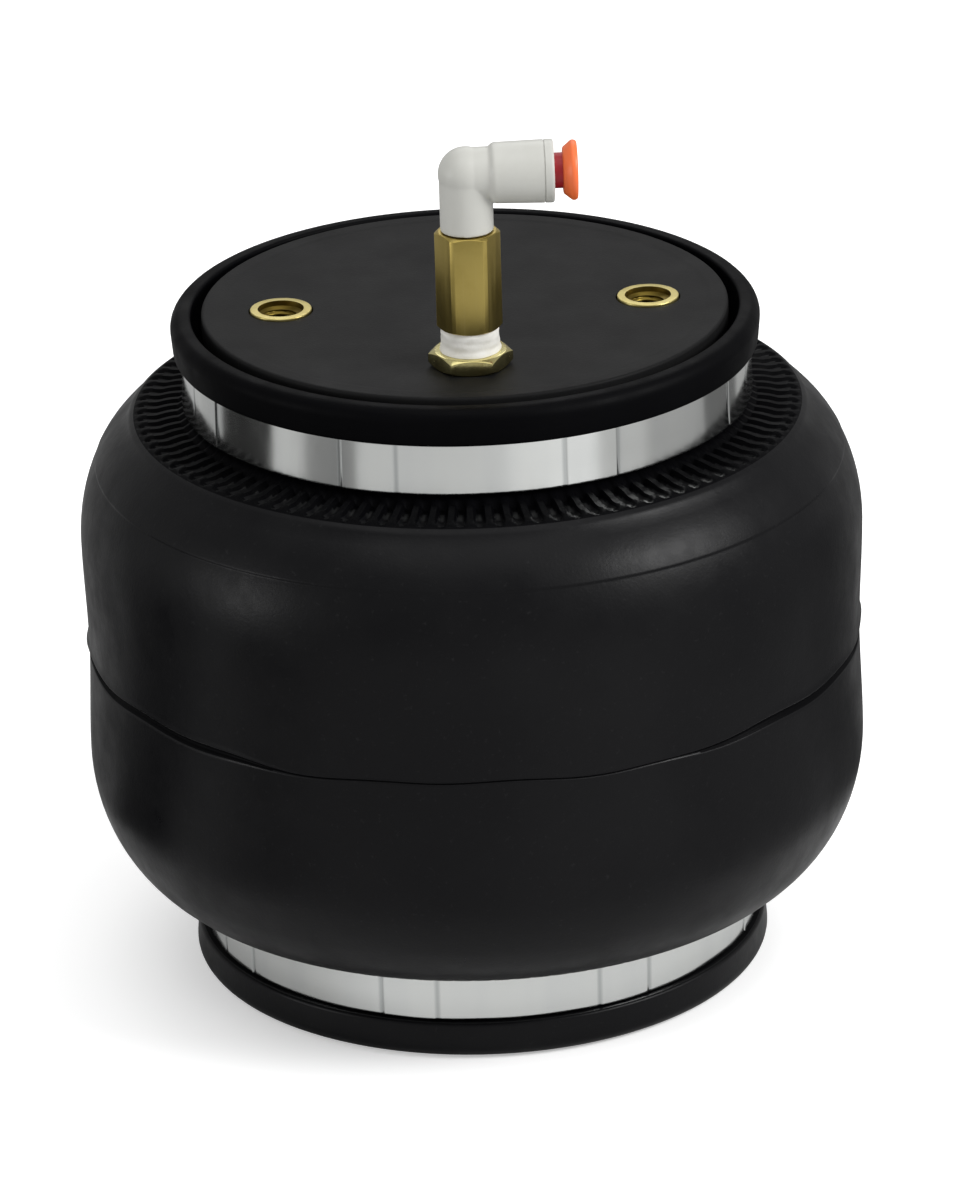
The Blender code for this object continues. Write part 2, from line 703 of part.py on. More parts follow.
# The elbow, about the crossing of the riser's axis and the outlet's
def elbow_body():
    """The outlet head and its neck, joined to the riser by a rounded corner, then bored."""
    head = [
        (0.0, HEAD_END),
        (HEAD_RADIUS - HEAD_BEVEL, HEAD_END),
        (HEAD_RADIUS, HEAD_END - HEAD_BEVEL),
        (HEAD_RADIUS, HEAD_START + HEAD_BEVEL),
        (HEAD_RADIUS - HEAD_BEVEL, HEAD_START),
        (NECK_RADIUS, HEAD_START),
        (NECK_RADIUS, 0.0),
        (0.0, 0.0),
    ]
    body = turned("elbow_body", head, FITTING_SEGMENTS, OUTLET, material=RESIN)
    shape = bmesh.new()
    bmesh.ops.create_uvsphere(
        shape, u_segments=FITTING_SEGMENTS, v_segments=FITTING_SEGMENTS // 2, radius=CORNER_RADIUS
    )
    mesh = bpy.data.meshes.new("elbow_corner")
    shape.to_mesh(mesh)
    shape.free()
    combine(body, place("elbow_corner", mesh, ELBOW), "UNION")
    foot = -ELBOW_RISE + FIT
    riser = barrel_profile(RISER_RADIUS, foot, 0.0, RISER_BEVEL)
    combine(body, turned("elbow_riser", riser, FITTING_SEGMENTS, ELBOW), "UNION")
    chamber_low = -ELBOW_RISE + POST_HEIGHT - SNAP_BEAD_LENGTH - FIT
    chamber_high = -ELBOW_RISE + POST_HEIGHT + FIT
    swivel = [
        (0.0, 0.0),
        (AIR_RADIUS, 0.0),
        (AIR_RADIUS, chamber_high),
        (POST_RADIUS + SNAP_BEAD + FIT, chamber_high),
        (POST_RADIUS + SNAP_BEAD + FIT, chamber_low),
        (POST_RADIUS + FIT, chamber_low),
        (POST_RADIUS + FIT, foot - OVERSHOOT),
        (0.0, foot - OVERSHOOT),
    ]
    combine(body, turned("elbow_swivel_bore", swivel, FITTING_SEGMENTS, ELBOW), "DIFFERENCE")
    packing_end = PACKING_START + PACKING_LENGTH
    socket = [
        (0.0, HEAD_END + OVERSHOOT),
        (CHAMBER_RADIUS, HEAD_END + OVERSHOOT),
        (CHAMBER_RADIUS, packing_end),
        (PACKING_RADIUS, packing_end),
        (PACKING_RADIUS, PACKING_START),
        (BORE_RADIUS, PACKING_START),
        (BORE_RADIUS, TUBE_STOP),
        (AIR_RADIUS, TUBE_STOP),
        (AIR_RADIUS, -AIR_RADIUS / 2.0),
        (0.0, -AIR_RADIUS / 2.0),
    ]
    combine(body, turned("elbow_socket", socket, FITTING_SEGMENTS, OUTLET), "DIFFERENCE")


def tube_seal():
    low = PACKING_START + FIT
    high = PACKING_START + PACKING_LENGTH - FIT
    middle = (low + high) / 2.0
    outer = PACKING_RADIUS - FIT
    profile = [
        (BORE_RADIUS + PACKING_LIP, high),
        (outer - PACKING_BEVEL, high),
        (outer, high - PACKING_BEVEL_LENGTH),
        (outer, low + PACKING_BEVEL_LENGTH),
        (outer - PACKING_BEVEL, low),
        (BORE_RADIUS + PACKING_LIP, low),
        (BORE_RADIUS, middle),
    ]
    turned("tube_seal", profile, SMALL_SEGMENTS, OUTLET, material=NITRILE)


def collet():
    """The spring ring whose teeth lean inwards and grip the tube."""
    tooth_tip = PACKING_START + PACKING_LENGTH + COLLET_SETBACK
    rim = tooth_tip + TOOTH_LEAN
    outer = CHAMBER_RADIUS - FIT
    inner = BORE_RADIUS + TOOTH_PLAY
    fold = outer - COLLET_SHEET
    profile = [
        (outer, rim + COLLET_SHEET),
        (outer, rim),
        (fold, rim),
        (inner, tooth_tip),
        (inner, tooth_tip + COLLET_SHEET),
        (fold - TOOTH_PLAY, rim + COLLET_SHEET),
    ]
    ring = turned("collet", profile, COLLET_SEGMENTS, OUTLET, material=STEEL)
    slots = ring_of_boxes(
        "collet_slots", COLLET_SLOTS, BORE_RADIUS - OVERSHOOT, fold - 2.0 * TOOTH_PLAY,
        COLLET_SLOT_WIDTH, tooth_tip - OVERSHOOT, rim + 2.0 * OVERSHOOT, OUTLET,
        math.pi / COLLET_SLOTS,
    )
    combine(ring, slots, "DIFFERENCE")


def collar():
    profile = [
        (COLLAR_INNER, COLLAR_START + COLLAR_LENGTH),
        (COLLAR_OUTER, COLLAR_START + COLLAR_LENGTH),
        (COLLAR_OUTER, COLLAR_START + COLLAR_LEAD),
        (COLLAR_OUTER - COLLAR_BEVEL, COLLAR_START),
        (COLLAR_INNER, COLLAR_START),
    ]
    turned("collar", profile, FITTING_SEGMENTS, OUTLET, material=BRASS)


def release_sleeve():
    """The sleeve that opens the collet, held by a shoulder behind the collar."""
    neck = min(RELEASE_NECK_RADIUS, COLLAR_INNER - FIT)
    shoulder = COLLAR_START - FIT
    tip = shoulder - RELEASE_TIP
    back = HEAD_END + RELEASE_GAP
    front = back + RELEASE_FLANGE
    profile = [
        (BORE_RADIUS + RELEASE_COUNTERSINK, front),
        (RELEASE_FLANGE_RADIUS - RELEASE_BEVEL, front),
        (RELEASE_FLANGE_RADIUS, front - RELEASE_BEVEL),
        (RELEASE_FLANGE_RADIUS, back + RELEASE_DISH),
        (neck + RELEASE_FILLET, back),
        (neck, back),
        (neck, shoulder),
        (COLLAR_INNER + RELEASE_CATCH, shoulder),
        (COLLAR_INNER + RELEASE_CATCH, tip + RELEASE_CATCH),
        (neck - RELEASE_CATCH, tip),
        (BORE_RADIUS, tip),
        (BORE_RADIUS, front - RELEASE_COUNTERSINK),
    ]
    turned("release_sleeve", profile, FITTING_SEGMENTS, OUTLET, material=ORANGE)


def smooth_round_pieces():
    for obj in PARTS.objects:
        if obj.type == "MESH":
            obj.data.shade_smooth()
            obj.data.set_sharp_from_angle(angle=math.radians(30.0))


for old in list(bpy.data.objects):
    bpy.data.objects.remove(old, do_unlink=True)

PARTS = new_collection("air_bellows_actuator")
CUTTERS = new_collection("cutters")

PLASTIC = new_material("black_nylon", (0.028, 0.028, 0.029), 0.55)
RUBBER = new_material("black_rubber", (0.012, 0.012, 0.014), 0.50)
ALUMINIUM = new_material("rolled_aluminium", (0.70, 0.71, 0.70), 0.28, 1.0)
BRASS = new_material("machined_brass", (0.62, 0.46, 0.16), 0.25, 1.0)
SEALANT = new_material("white_thread_sealant", (0.72, 0.72, 0.68), 0.70)
RESIN = new_material("light_grey_resin", (0.56, 0.56, 0.52), 0.38)
ORANGE = new_material("orange_resin", (0.86, 0.16, 0.05), 0.35)
NITRILE = new_material("nitrile_rubber", (0.015, 0.015, 0.015), 0.60)
STEEL = new_material("plated_steel", (0.55, 0.55, 0.56), 0.30, 1.0)

LOWER = new_frame("lower_frame", (0.0, 0.0, 0.0))
UPPER = new_frame("upper_frame", (0.0, 0.0, FACE_TO_FACE), (math.pi, 0.0, 0.0))
PORT = new_frame("port_frame", (0.0, -PORT_OFFSET, FACE_TO_FACE))
ELBOW = new_frame("elbow_frame", (0.0, -PORT_OFFSET, FACE_TO_FACE + ELBOW_AXIS))
OUTLET = new_frame(
    "outlet_frame", (0.0, -PORT_OFFSET, FACE_TO_FACE + ELBOW_AXIS), (0.0, math.pi / 2.0, 0.0)
)

end_plate("lower_end_plate", LOWER)
end_plate("upper_end_plate", UPPER, port_side=1.0)
clamp_band("lower_clamp_band", LOWER, LOWER_LAND_START)
clamp_band("upper_clamp_band", UPPER, UPPER_LAND_START)
for end, frame, proud in (("lower", LOWER, LOWER_INSERT_PROUD), ("upper", UPPER, UPPER_INSERT_PROUD)):
    threaded_insert(f"{end}_insert_left", frame, -1.0, proud)
    threaded_insert(f"{end}_insert_right", frame, 1.0, proud)
bellows()
bump_stop()
port_bushing()
thread_seal()
hex_extension()
elbow_body()
tube_seal()
collet()
collar()
release_sleeve()
smooth_round_pieces()
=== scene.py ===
"""The looks of the air bellows actuator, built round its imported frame.

Metres, +Z up. The origin is the centre of the lower mounting face, the inserts lie along X, the
air port is towards -Y and its tube outlet points towards +X."""

import json
import math

import bmesh
import bpy
import numpy as np
from mathutils import Matrix, Vector


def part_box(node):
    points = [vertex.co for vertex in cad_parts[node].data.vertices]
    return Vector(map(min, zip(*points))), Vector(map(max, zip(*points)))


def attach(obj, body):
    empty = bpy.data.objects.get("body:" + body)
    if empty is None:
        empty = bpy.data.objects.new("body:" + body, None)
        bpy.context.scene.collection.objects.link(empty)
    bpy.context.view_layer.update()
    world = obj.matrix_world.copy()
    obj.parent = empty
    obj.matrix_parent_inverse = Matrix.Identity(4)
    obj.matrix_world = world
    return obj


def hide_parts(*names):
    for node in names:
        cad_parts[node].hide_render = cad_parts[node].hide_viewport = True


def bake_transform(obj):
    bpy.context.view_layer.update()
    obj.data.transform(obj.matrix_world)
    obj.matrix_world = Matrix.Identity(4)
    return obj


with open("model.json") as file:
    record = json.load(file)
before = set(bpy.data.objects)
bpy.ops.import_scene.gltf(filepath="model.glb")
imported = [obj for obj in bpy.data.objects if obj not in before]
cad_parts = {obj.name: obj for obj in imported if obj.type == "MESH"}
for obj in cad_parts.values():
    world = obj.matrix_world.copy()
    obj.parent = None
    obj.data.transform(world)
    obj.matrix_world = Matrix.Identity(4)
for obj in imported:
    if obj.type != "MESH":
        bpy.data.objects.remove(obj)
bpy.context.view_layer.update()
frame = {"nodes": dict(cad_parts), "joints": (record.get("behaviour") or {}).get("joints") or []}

# The play between two pieces, and how far a cutter reaches past the surface that it opens
FIT = 0.0003
OVERSHOOT = 0.001

# Places that the frame gives
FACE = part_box("upper_end_plate")[1].z
PORT = sum(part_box("port_bushing"), Vector()) / 2.0
JOINTS = {joint["name"]: joint for joint in frame["joints"]}
ELBOW = Vector(JOINTS["elbow_swivel"]["pos_m"])
EXTENSION_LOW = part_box("thread_seal")[1].z + FIT
EXTENSION_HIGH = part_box("elbow_body")[0].z - FIT
UPPER_INSERT_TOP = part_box("upper_insert_left")[1].z

# End plates
DISC_RADIUS = 0.0638
DISC_THICKNESS = 0.0050
RIM_INNER = 0.0588
RIM_HEIGHT = 0.00022
HUB_RADIUS = 0.0624
HUB_DEPTH = 0.0246
HUB_WALL = 0.0065
BARB_HEIGHT = 0.0009
BARB_CREST = 0.6
BARB_ROOT = 0.4
RIB_COUNT = 12
RIB_THICKNESS = 0.0024
RIB_DEPTH = 0.0160
RING_RIB_RADIUS = 0.0340
BOSS_RADIUS = 0.0125
BOSS_WALL = 0.0030
SCREW_HOLE_RADIUS = 0.0043
SCREW_HOLE_FLOOR = 0.0040

# Threaded inserts
INSERT_OFFSET = 0.04445
INSERT_RADIUS = 0.0075
INSERT_FLANGE = 0.0018
INSERT_BARREL = 0.0066
INSERT_LENGTH = 0.0160
INSERT_GROOVE = 0.0008
THREAD_CORE = 0.0041
THREAD_RADIUS = 0.0047
THREAD_PITCH = 0.0254 / 16.0
THREAD_DEPTH = 0.0135
MOUTH_RADIUS = 0.0056
MOUTH_DEPTH = 0.0013
DRILL_POINT = 0.0012

# Bellows, with depths measured from the nearer mounting face
BELLOWS_RADIUS = 0.0957
WAIST = 0.0008
SHOULDER_RADIAL = 0.0258
SHOULDER_AXIAL = 0.0340
SHOULDER_DEPTH = 0.0570
WALL = 0.0045
LIP_RADIUS = 0.0715
LIP_INNER = 0.0663
LIP_TOP = 0.0005
LIP_FOOT = 0.0096
LIP_SEAT = 0.0008
RUBBER_OUTER = 0.0672
RUBBER_INNER = 0.0627
RIDGES = 108
RIDGE_PHASES = (0.0, 0.15, 0.24, 0.33, 0.5, 0.67, 0.76, 0.85)
RIDGE_END = 64.8
VALLEY_DEPTH = 0.0016
VALLEY_HALF = 0.30
MOULD_RING = 34.0
CREST_RISE = 0.00060
LOWER_CREST_RISE = 0.00010
# From this shoulder angle towards the band the rubber is darker: painted shade
TROUGH_ANGLE = 66.3
TROUGH_DROP = 0.0011
FLASH_BUMP = 0.0007
FLASH_SPREAD = 5.0
FLASH_HALF = 0.0012
GROOVE_SHARE = 0.30
GROOVE_GROWS = (0.45, 0.80)
SWELL_FADES = (0.045, 0.062)

# Clamp bands
BAND_INNER = 0.0675
BAND_OUTER = 0.0691
BAND_START = 0.0099
BAND_END = 0.0222
BAND_LANDS = 8
LAND_HALF = 5.4
LAND_PROUD = 0.00010
CREASE_DEPTH = 0.00008
BAND_FLARE = 0.00032
CREASE = LAND_HALF + 0.45
LAND_STARTS = {"lower": 28.1, "upper": -21.8}

# The groove round the inserts' and the bushing's barrels, as shares of the length: where it starts
# and where it is deep, from the face inwards
BARREL_GROOVE = (0.42, 0.46, 0.60, 0.64)

# Air fitting
HEX_FACE_SHARE = 0.97
HEX_CHAMFER_ANGLE = 30.0
PORT_FLATS = 0.01746
PORT_FLANGE = 0.0037
PORT_BARREL = 0.0084
PORT_BORE = 0.0064
PORT_LENGTH = 0.0165
PORT_GROOVE = 0.0008
SEALANT_RADIUS = 0.00695
EXTENSION_FLATS = 0.0140
EXTENSION_REACH = 0.962
NIPPLE_LENGTH = 0.0150
AIR_RADIUS = 0.0020
POST_RADIUS = 0.0040
POST_HEIGHT = 0.0105
SNAP_BEAD = 0.0007
SNAP_POCKET = 0.0030
O_RING_ROOT = 0.0030
O_RING_LOW = 0.0037
O_RING_HIGH = 0.0051
RISER_RADIUS = 0.0063
CORNER_RADIUS = 0.0065
HEAD_RADIUS = 0.0074
HEAD_START = 0.0064
HEAD_END = 0.0207
HEAD_LINE = 0.0021
ELBOW_VOXEL = 0.24
CHAMBER_RADIUS = 0.0054
PACKING_RADIUS = 0.0050
PACKING_START = 0.0100
PACKING_END = 0.0124
TUBE_STOP = 0.0075
TUBE_BORE = 0.003325
SLEEVE_NECK = 0.0042
SLEEVE_TIP = 0.0164
SLEEVE_BACK = 0.0228
SLEEVE_FRONT = 0.0262
SLEEVE_RADIUS = 0.0072


def smooth(low, high, x):
    """0 before low and 1 after high, eased at both ends."""
    t = np.clip((np.asarray(x, float) - low) / (high - low), 0.0, 1.0)
    return t * t * (3.0 - 2.0 * t)


def rounded(corners, closed=True, steps=5):
    """The outline through corners (x, y, size of the rounding), with each corner rounded off."""
    points = [np.array(corner[:2], float) for corner in corners]
    count = len(points)
    outline = []
    for i, (here, corner) in enumerate(zip(points, corners)):
        size = corner[2]
        if size <= 0.0 or (not closed and i in (0, count - 1)):
            outline.append(here)
            continue
        before, after = points[i - 1] - here, points[(i + 1) % count] - here
        before_length, after_length = np.linalg.norm(before), np.linalg.norm(after)
        reach = min(size, before_length * 0.48, after_length * 0.48)
        start = here + before / before_length * reach
        end = here + after / after_length * reach
        for t in np.linspace(0.0, 1.0, steps):
            outline.append((1 - t) ** 2 * start + 2 * t * (1 - t) * here + t ** 2 * end)
    return np.array(outline)


def circle(columns):
    return np.linspace(0.0, 2.0 * math.pi, columns, endpoint=False)


def grid_mesh(name, x, y, z, wrap_rows):
    """A mesh over a grid of points whose columns close on themselves."""
    rows, columns = x.shape
    corner = np.arange(rows * columns).reshape(rows, columns)
    below = np.roll(corner, -1, axis=0)
    beside = np.roll(corner, -1, axis=1)
    across = np.roll(below, -1, axis=1)
    quads = np.stack([corner, below, across, beside], axis=-1)
    if not wrap_rows:
        quads = quads[:-1]
    mesh = bpy.data.meshes.new(name)
    points = np.stack([x, y, z], axis=-1).reshape(-1, 3)
    mesh.from_pydata(points.tolist(), [], quads.reshape(-1, 4).tolist())
    shape = bmesh.new()
    shape.from_mesh(mesh)
    bmesh.ops.remove_doubles(shape, verts=shape.verts, dist=1e-7)
    bmesh.ops.recalc_face_normals(shape, faces=shape.faces)
    shape.to_mesh(mesh)
    shape.free()
    return mesh


def add(name, mesh, place=None):
    if place is not None:
        mesh.transform(place)
    obj = bpy.data.objects.new(name, mesh)
    bpy.context.scene.collection.objects.link(obj)
    return obj


def turned(name, section, angles, place=None, shape=None):
    """A section of points (radius, height) carried round the Z axis. One that starts on the axis
    ends there too, and any other is closed. shape may move the points by row and angle."""
    section = np.asarray(section, float)[:, :2]
    if isinstance(angles, int):
        angles = circle(angles)
    radius = np.repeat(section[:, :1], len(angles), axis=1)
    height = np.repeat(section[:, 1:], len(angles), axis=1)
    if shape is not None:
        radius, height = shape(radius, height, angles)
    closed = section[0, 0] > 1e-9
    mesh = grid_mesh(name, radius * np.cos(angles), radius * np.sin(angles), height, closed)
    return add(name, mesh, place)


def cylinder(radius, low, high):
    """The section of a plain cylinder, to be turned."""
    return [(0.0, high), (radius, high), (radius, low), (0.0, low)]


def applied(obj):
    """Makes the modifiers of an object part of its mesh."""
    graph = bpy.context.evaluated_depsgraph_get()
    mesh = bpy.data.meshes.new_from_object(obj.evaluated_get(graph))
    obj.modifiers.clear()
    obj.data = mesh


def combine(obj, tool, operation):
    """Joins, cuts or keeps in common with a tool, which is used up."""
    modifier = obj.modifiers.new("combine", "BOOLEAN")
    modifier.operation = operation
    modifier.object = tool
    applied(obj)
    bpy.data.objects.remove(tool)


def soften(obj, width, angle):
    """Small rounded edges wherever two faces meet at more than that angle in degrees."""
    modifier = obj.modifiers.new("edges", "BEVEL")
    modifier.width = width
    modifier.segments = 2
    modifier.limit_method = "ANGLE"
    modifier.angle_limit = math.radians(angle)
    modifier.miter_outer = "MITER_ARC"
    applied(obj)


def boxes(name, count, inner, outer, width, low, high):
    """Radial boxes in a ring, as one tool."""
    shape = bmesh.new()
    size = Matrix.Diagonal((outer - inner, width, high - low, 1.0))
    shift = Matrix.Translation(((inner + outer) / 2.0, 0.0, (low + high) / 2.0))
    for i in range(count):
        turn = Matrix.Rotation(2.0 * math.pi * i / count, 4, "Z")
        bmesh.ops.create_cube(shape, size=1.0, matrix=turn @ shift @ size)
    mesh = bpy.data.meshes.new(name)
    shape.to_mesh(mesh)
    shape.free()
    return add(name, mesh)


def hexagon(name, flats, low, high, reach=1.02):
    """A hexagonal bar with a corner towards +X and turned chamfers on both ends. A reach below 1
    turns its long corners down to that share."""
    corner = flats / math.sqrt(3.0)
    shape = bmesh.new()
    turn = Matrix.Rotation(math.pi / 6.0, 4, "Z")
    lift = Matrix.Translation((0.0, 0.0, (low + high) / 2.0))
    bmesh.ops.create_cone(
        shape, cap_ends=True, segments=6, radius1=corner, radius2=corner, depth=high - low,
        matrix=lift @ turn,
    )
    mesh = bpy.data.meshes.new(name)
    shape.to_mesh(mesh)
    shape.free()
    bar = add(name, mesh)
    face = flats / 2.0 * HEX_FACE_SHARE
    wide = corner * reach
    slope = (wide - face) * math.tan(math.radians(HEX_CHAMFER_ANGLE))
    envelope = [
        (0.0, high), (face, high), (wide, high - slope),
        (wide, low + slope), (face, low), (0.0, low),
    ]
    combine(bar, turned("envelope", envelope, 128), "INTERSECT")
    soften(bar, 0.00012, 20.0)
    return bar


def seat(obj, body, materials, node, sharp=35.0):
    """Gives a finished piece its materials and its body, and hides the CAD node that it stands for.
    """
    obj.data.materials.clear()
    for material in materials:
        obj.data.materials.append(material)
    obj.data.shade_smooth()
    obj.data.set_sharp_from_angle(angle=math.radians(sharp))
    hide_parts(node)
    if body:
        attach(obj, body)


# Materials
class Finish:
    """A Principled material whose colour, roughness and relief come from procedural textures."""

    def __init__(self, name, colour, roughness, metallic=0.0, specular=0.5):
        self.material = bpy.data.materials.new(name)
        self.material.use_nodes = True
        self.tree = self.material.node_tree
        self.shader = self.tree.nodes["Principled BSDF"]
        self.shader.inputs["Metallic"].default_value = metallic
        self.shader.inputs["Specular IOR Level"].default_value = specular
        self.shader.inputs["Roughness"].default_value = roughness
        self.shader.inputs["Base Color"].default_value = (*colour, 1.0)
        self.colour = None
        self.plain = (*colour, 1.0)
        self.normal = None
        self.coordinates = self.node("ShaderNodeTexCoord").outputs["Object"]

    def node(self, kind, **inputs):
        made = self.tree.nodes.new(kind)
        for name, value in inputs.items():
            self.put(made.inputs[name.replace("_", " ")], value)
        return made

    def put(self, socket, value):
        if isinstance(value, bpy.types.NodeSocket):
            self.tree.links.new(value, socket)
        else:
            socket.default_value = value

    def math(self, operation, *values):
        made = self.tree.nodes.new("ShaderNodeMath")
        made.operation = operation
        for socket, value in zip(made.inputs, values):
            self.put(socket, value)
        return made.outputs[0]

    def noise(self, scale, detail=4.0, rough=0.55, stretch=(1.0, 1.0, 1.0), where=None):
        """A noise of about that many blotches a metre, squeezed by stretch along each axis."""
        mapping = self.node("ShaderNodeMapping", Vector=where or self.coordinates)
        mapping.inputs["Scale"].default_value = stretch
        made = self.node(
            "ShaderNodeTexNoise", Vector=mapping.outputs[0], Scale=scale, Detail=detail,
            Roughness=rough,
        )
        return made.outputs["Fac"]

    def around(self):
        """Coordinates that run round the Z axis: (angle in radians, height, 0)."""
        parts = self.node("ShaderNodeSeparateXYZ", Vector=self.coordinates)
        angle = self.math("ARCTAN2", parts.outputs["Y"], parts.outputs["X"])
        made = self.node("ShaderNodeCombineXYZ", X=angle, Y=parts.outputs["Z"])
        return made.outputs[0]

    def spread(self, value, low, high, to_low=0.0, to_high=1.0):
        made = self.node("ShaderNodeMapRange", Value=value)
        made.inputs["From Min"].default_value = low
        made.inputs["From Max"].default_value = high
        made.inputs["To Min"].default_value = to_low
        made.inputs["To Max"].default_value = to_high
        return made.outputs[0]

    def tint(self, factor, colour):
        """Mixes another colour over what is there, by a factor between 0 and 1."""
        made = self.tree.nodes.new("ShaderNodeMix")
        made.data_type = "RGBA"
        self.put(made.inputs[0], factor)
        self.put(made.inputs[6], self.colour or self.plain)
        self.put(made.inputs[7], (*colour, 1.0))
        self.colour = made.outputs[2]
        self.tree.links.new(self.colour, self.shader.inputs["Base Color"])

    def rough(self, value):
        self.put(self.shader.inputs["Roughness"], value)

    def relief(self, height, depth):
        """Bumps of that depth in metres where height goes from 0 to 1."""
        made = self.node("ShaderNodeBump", Height=height, Distance=depth)
        made.inputs["Strength"].default_value = 1.0
        if self.normal is not None:
            self.tree.links.new(self.normal, made.inputs["Normal"])
        self.normal = made.outputs[0]
        self.tree.links.new(self.normal, self.shader.inputs["Normal"])


def shaded_rubber_finish():
    """The same rubber, darker, on the lips, the ridged troughs and the parting groove: painted
    shade.
    """
    made = Finish("shaded_rubber", (0.0011, 0.0011, 0.0016), 0.50, specular=0.045)
    blotches = made.noise(40.0, 5.0, 0.6)
    made.tint(made.spread(blotches, 0.42, 0.75, 0.0, 0.6), (0.0022, 0.0022, 0.0028))
    made.rough(made.spread(made.noise(90.0, 5.0, 0.6), 0.3, 0.75, 0.42, 0.60))
    made.relief(made.noise(1400.0, 3.0), 0.00002)
    return made.material


def rubber_finish():
    """Moulded black rubber: a fine skin, faint handling marks and a little pale dust."""
    made = Finish("moulded_rubber", (0.0034, 0.0034, 0.0041), 0.36, specular=0.16)
    blotches = made.noise(26.0, 5.0, 0.6)
    made.tint(made.spread(blotches, 0.42, 0.75, 0.0, 0.5), (0.0066, 0.0066, 0.0073))
    specks = made.noise(900.0, 2.0)
    made.tint(made.spread(specks, 0.64, 0.80, 0.0, 0.40), (0.020, 0.020, 0.021))
    made.rough(made.spread(made.noise(60.0, 6.0, 0.65), 0.3, 0.75, 0.27, 0.50))
    made.relief(made.noise(1400.0, 3.0), 0.00003)
    made.relief(made.noise(110.0, 4.0), 0.00008)
    return made.material


def plate_finish():
    """Black glass-filled nylon with a fine moulded texture."""
    made = Finish("textured_nylon", (0.0080, 0.0080, 0.0082), 0.52, specular=0.08)
    made.tint(made.spread(made.noise(45.0, 5.0, 0.6), 0.38, 0.72, 0.0, 0.3), (0.013, 0.013, 0.0135))
    made.tint(made.spread(made.noise(1500.0, 2.0), 0.62, 0.8, 0.0, 0.4), (0.030, 0.030, 0.031))
    made.rough(made.spread(made.noise(70.0, 5.0), 0.3, 0.7, 0.48, 0.56))
    made.relief(made.noise(1900.0, 2.5, 0.6), 0.00005)
    return made.material


def band_finish(name, start):
    """Rolled aluminium: bright, with faint lines round the band, soft patches that are jaw marks
    and painted reflection streaks, and painted shade in the creases beside the lands, the first of
    which is centred start degrees from +X."""
    made = Finish(name, (0.83, 0.845, 0.825), 0.24, metallic=1.0)
    turn = made.around()
    lines = made.noise(1.0, 3.0, 0.5, (2.0, 3200.0, 1.0), turn)
    # Soft darker patches round the band: jaw marks and painted reflection streaks
    jaw_marks_and_streaks = made.noise(1.0, 2.0, 0.5, (7.0, 6.0, 1.0), turn)
    made.tint(made.spread(jaw_marks_and_streaks, 0.45, 0.75, 0.0, 0.4), (0.70, 0.72, 0.73))
    made.tint(made.spread(lines, 0.55, 0.85, 0.0, 0.25), (0.70, 0.71, 0.70))
    # Darker in the creases beside each land: painted shade
    angle = made.node("ShaderNodeSeparateXYZ", Vector=turn).outputs["X"]
    sector = 360.0 / BAND_LANDS
    turns = made.math("MULTIPLY_ADD", angle, 180.0 / math.pi / sector, 0.5 - start / sector)
    from_land = made.math("ABSOLUTE", made.math("SUBTRACT", made.math("FRACT", turns), 0.5))
    from_crease = made.math("ABSOLUTE", made.math("SUBTRACT", from_land, CREASE / sector))
    crease_shade = made.spread(from_crease, 0.15 / sector, 0.75 / sector, 0.6, 0.0)
    made.tint(crease_shade, (0.40, 0.42, 0.42))
    rubbed = made.noise(1.0, 3.0, 0.5, (12.0, 60.0, 1.0), turn)
    made.rough(made.spread(rubbed, 0.3, 0.75, 0.11, 0.20))
    made.relief(lines, 0.0000012)
    return made.material


def brass_finish(name, stretch, colour=(0.56, 0.435, 0.13), dull=(0.42, 0.31, 0.075),
                 bright=(0.66, 0.55, 0.23), rough=(0.28, 0.44)):
    """Machined brass with tool lines, which run along the axes where stretch is small."""
    made = Finish(name, colour, 0.28, metallic=1.0)
    lines = made.noise(700.0, 3.0, 0.6, stretch)
    made.tint(made.spread(made.noise(170.0, 3.0), 0.42, 0.75, 0.0, 0.5), dull)
    made.tint(made.spread(lines, 0.55, 0.8, 0.0, 0.4), bright)
    made.rough(made.spread(lines, 0.3, 0.75, *rough))
    made.relief(lines, 0.000003)
    return made.material


def sealant_finish():
    """Dried white thread sealant, chalky and a little dirty in random blotches."""
    made = Finish("dried_sealant", (0.74, 0.73, 0.69), 0.75, specular=0.3)
    made.tint(made.spread(made.noise(300.0, 4.0, 0.6), 0.45, 0.75, 0.0, 0.4), (0.60, 0.58, 0.52))
    made.relief(made.noise(700.0, 4.0, 0.6), 0.00008)
    return made.material


def resin_finish(name, colour, shade, roughness):
    """Satin moulded resin with faint flow marks."""
    made = Finish(name, colour, roughness, specular=0.45)
    flow = made.noise(130.0, 4.0, 0.55, (1.0, 1.0, 0.6))
    made.tint(made.spread(flow, 0.4, 0.75, 0.0, 0.5), shade)
    made.rough(made.spread(made.noise(320.0, 4.0), 0.3, 0.7, roughness - 0.05, roughness + 0.08))
    made.relief(made.noise(2600.0, 2.0), 0.00001)
    return made.material


def steel_finish():
    """Zinc plated steel."""
    made = Finish("plated_steel", (0.62, 0.62, 0.61), 0.35, metallic=1.0)
    made.tint(made.spread(made.noise(300.0, 4.0), 0.4, 0.75, 0.0, 0.6), (0.48, 0.48, 0.50))
    made.rough(made.spread(made.noise(500.0, 3.0), 0.3, 0.7, 0.28, 0.46))
    return made.material


def seal_finish():
    made = Finish("nitrile_rubber", (0.012, 0.012, 0.012), 0.5, specular=0.4)
    made.rough(made.spread(made.noise(900.0, 3.0), 0.3, 0.7, 0.42, 0.6))
    made.relief(made.noise(2400.0, 2.0), 0.00001)
    return made.material


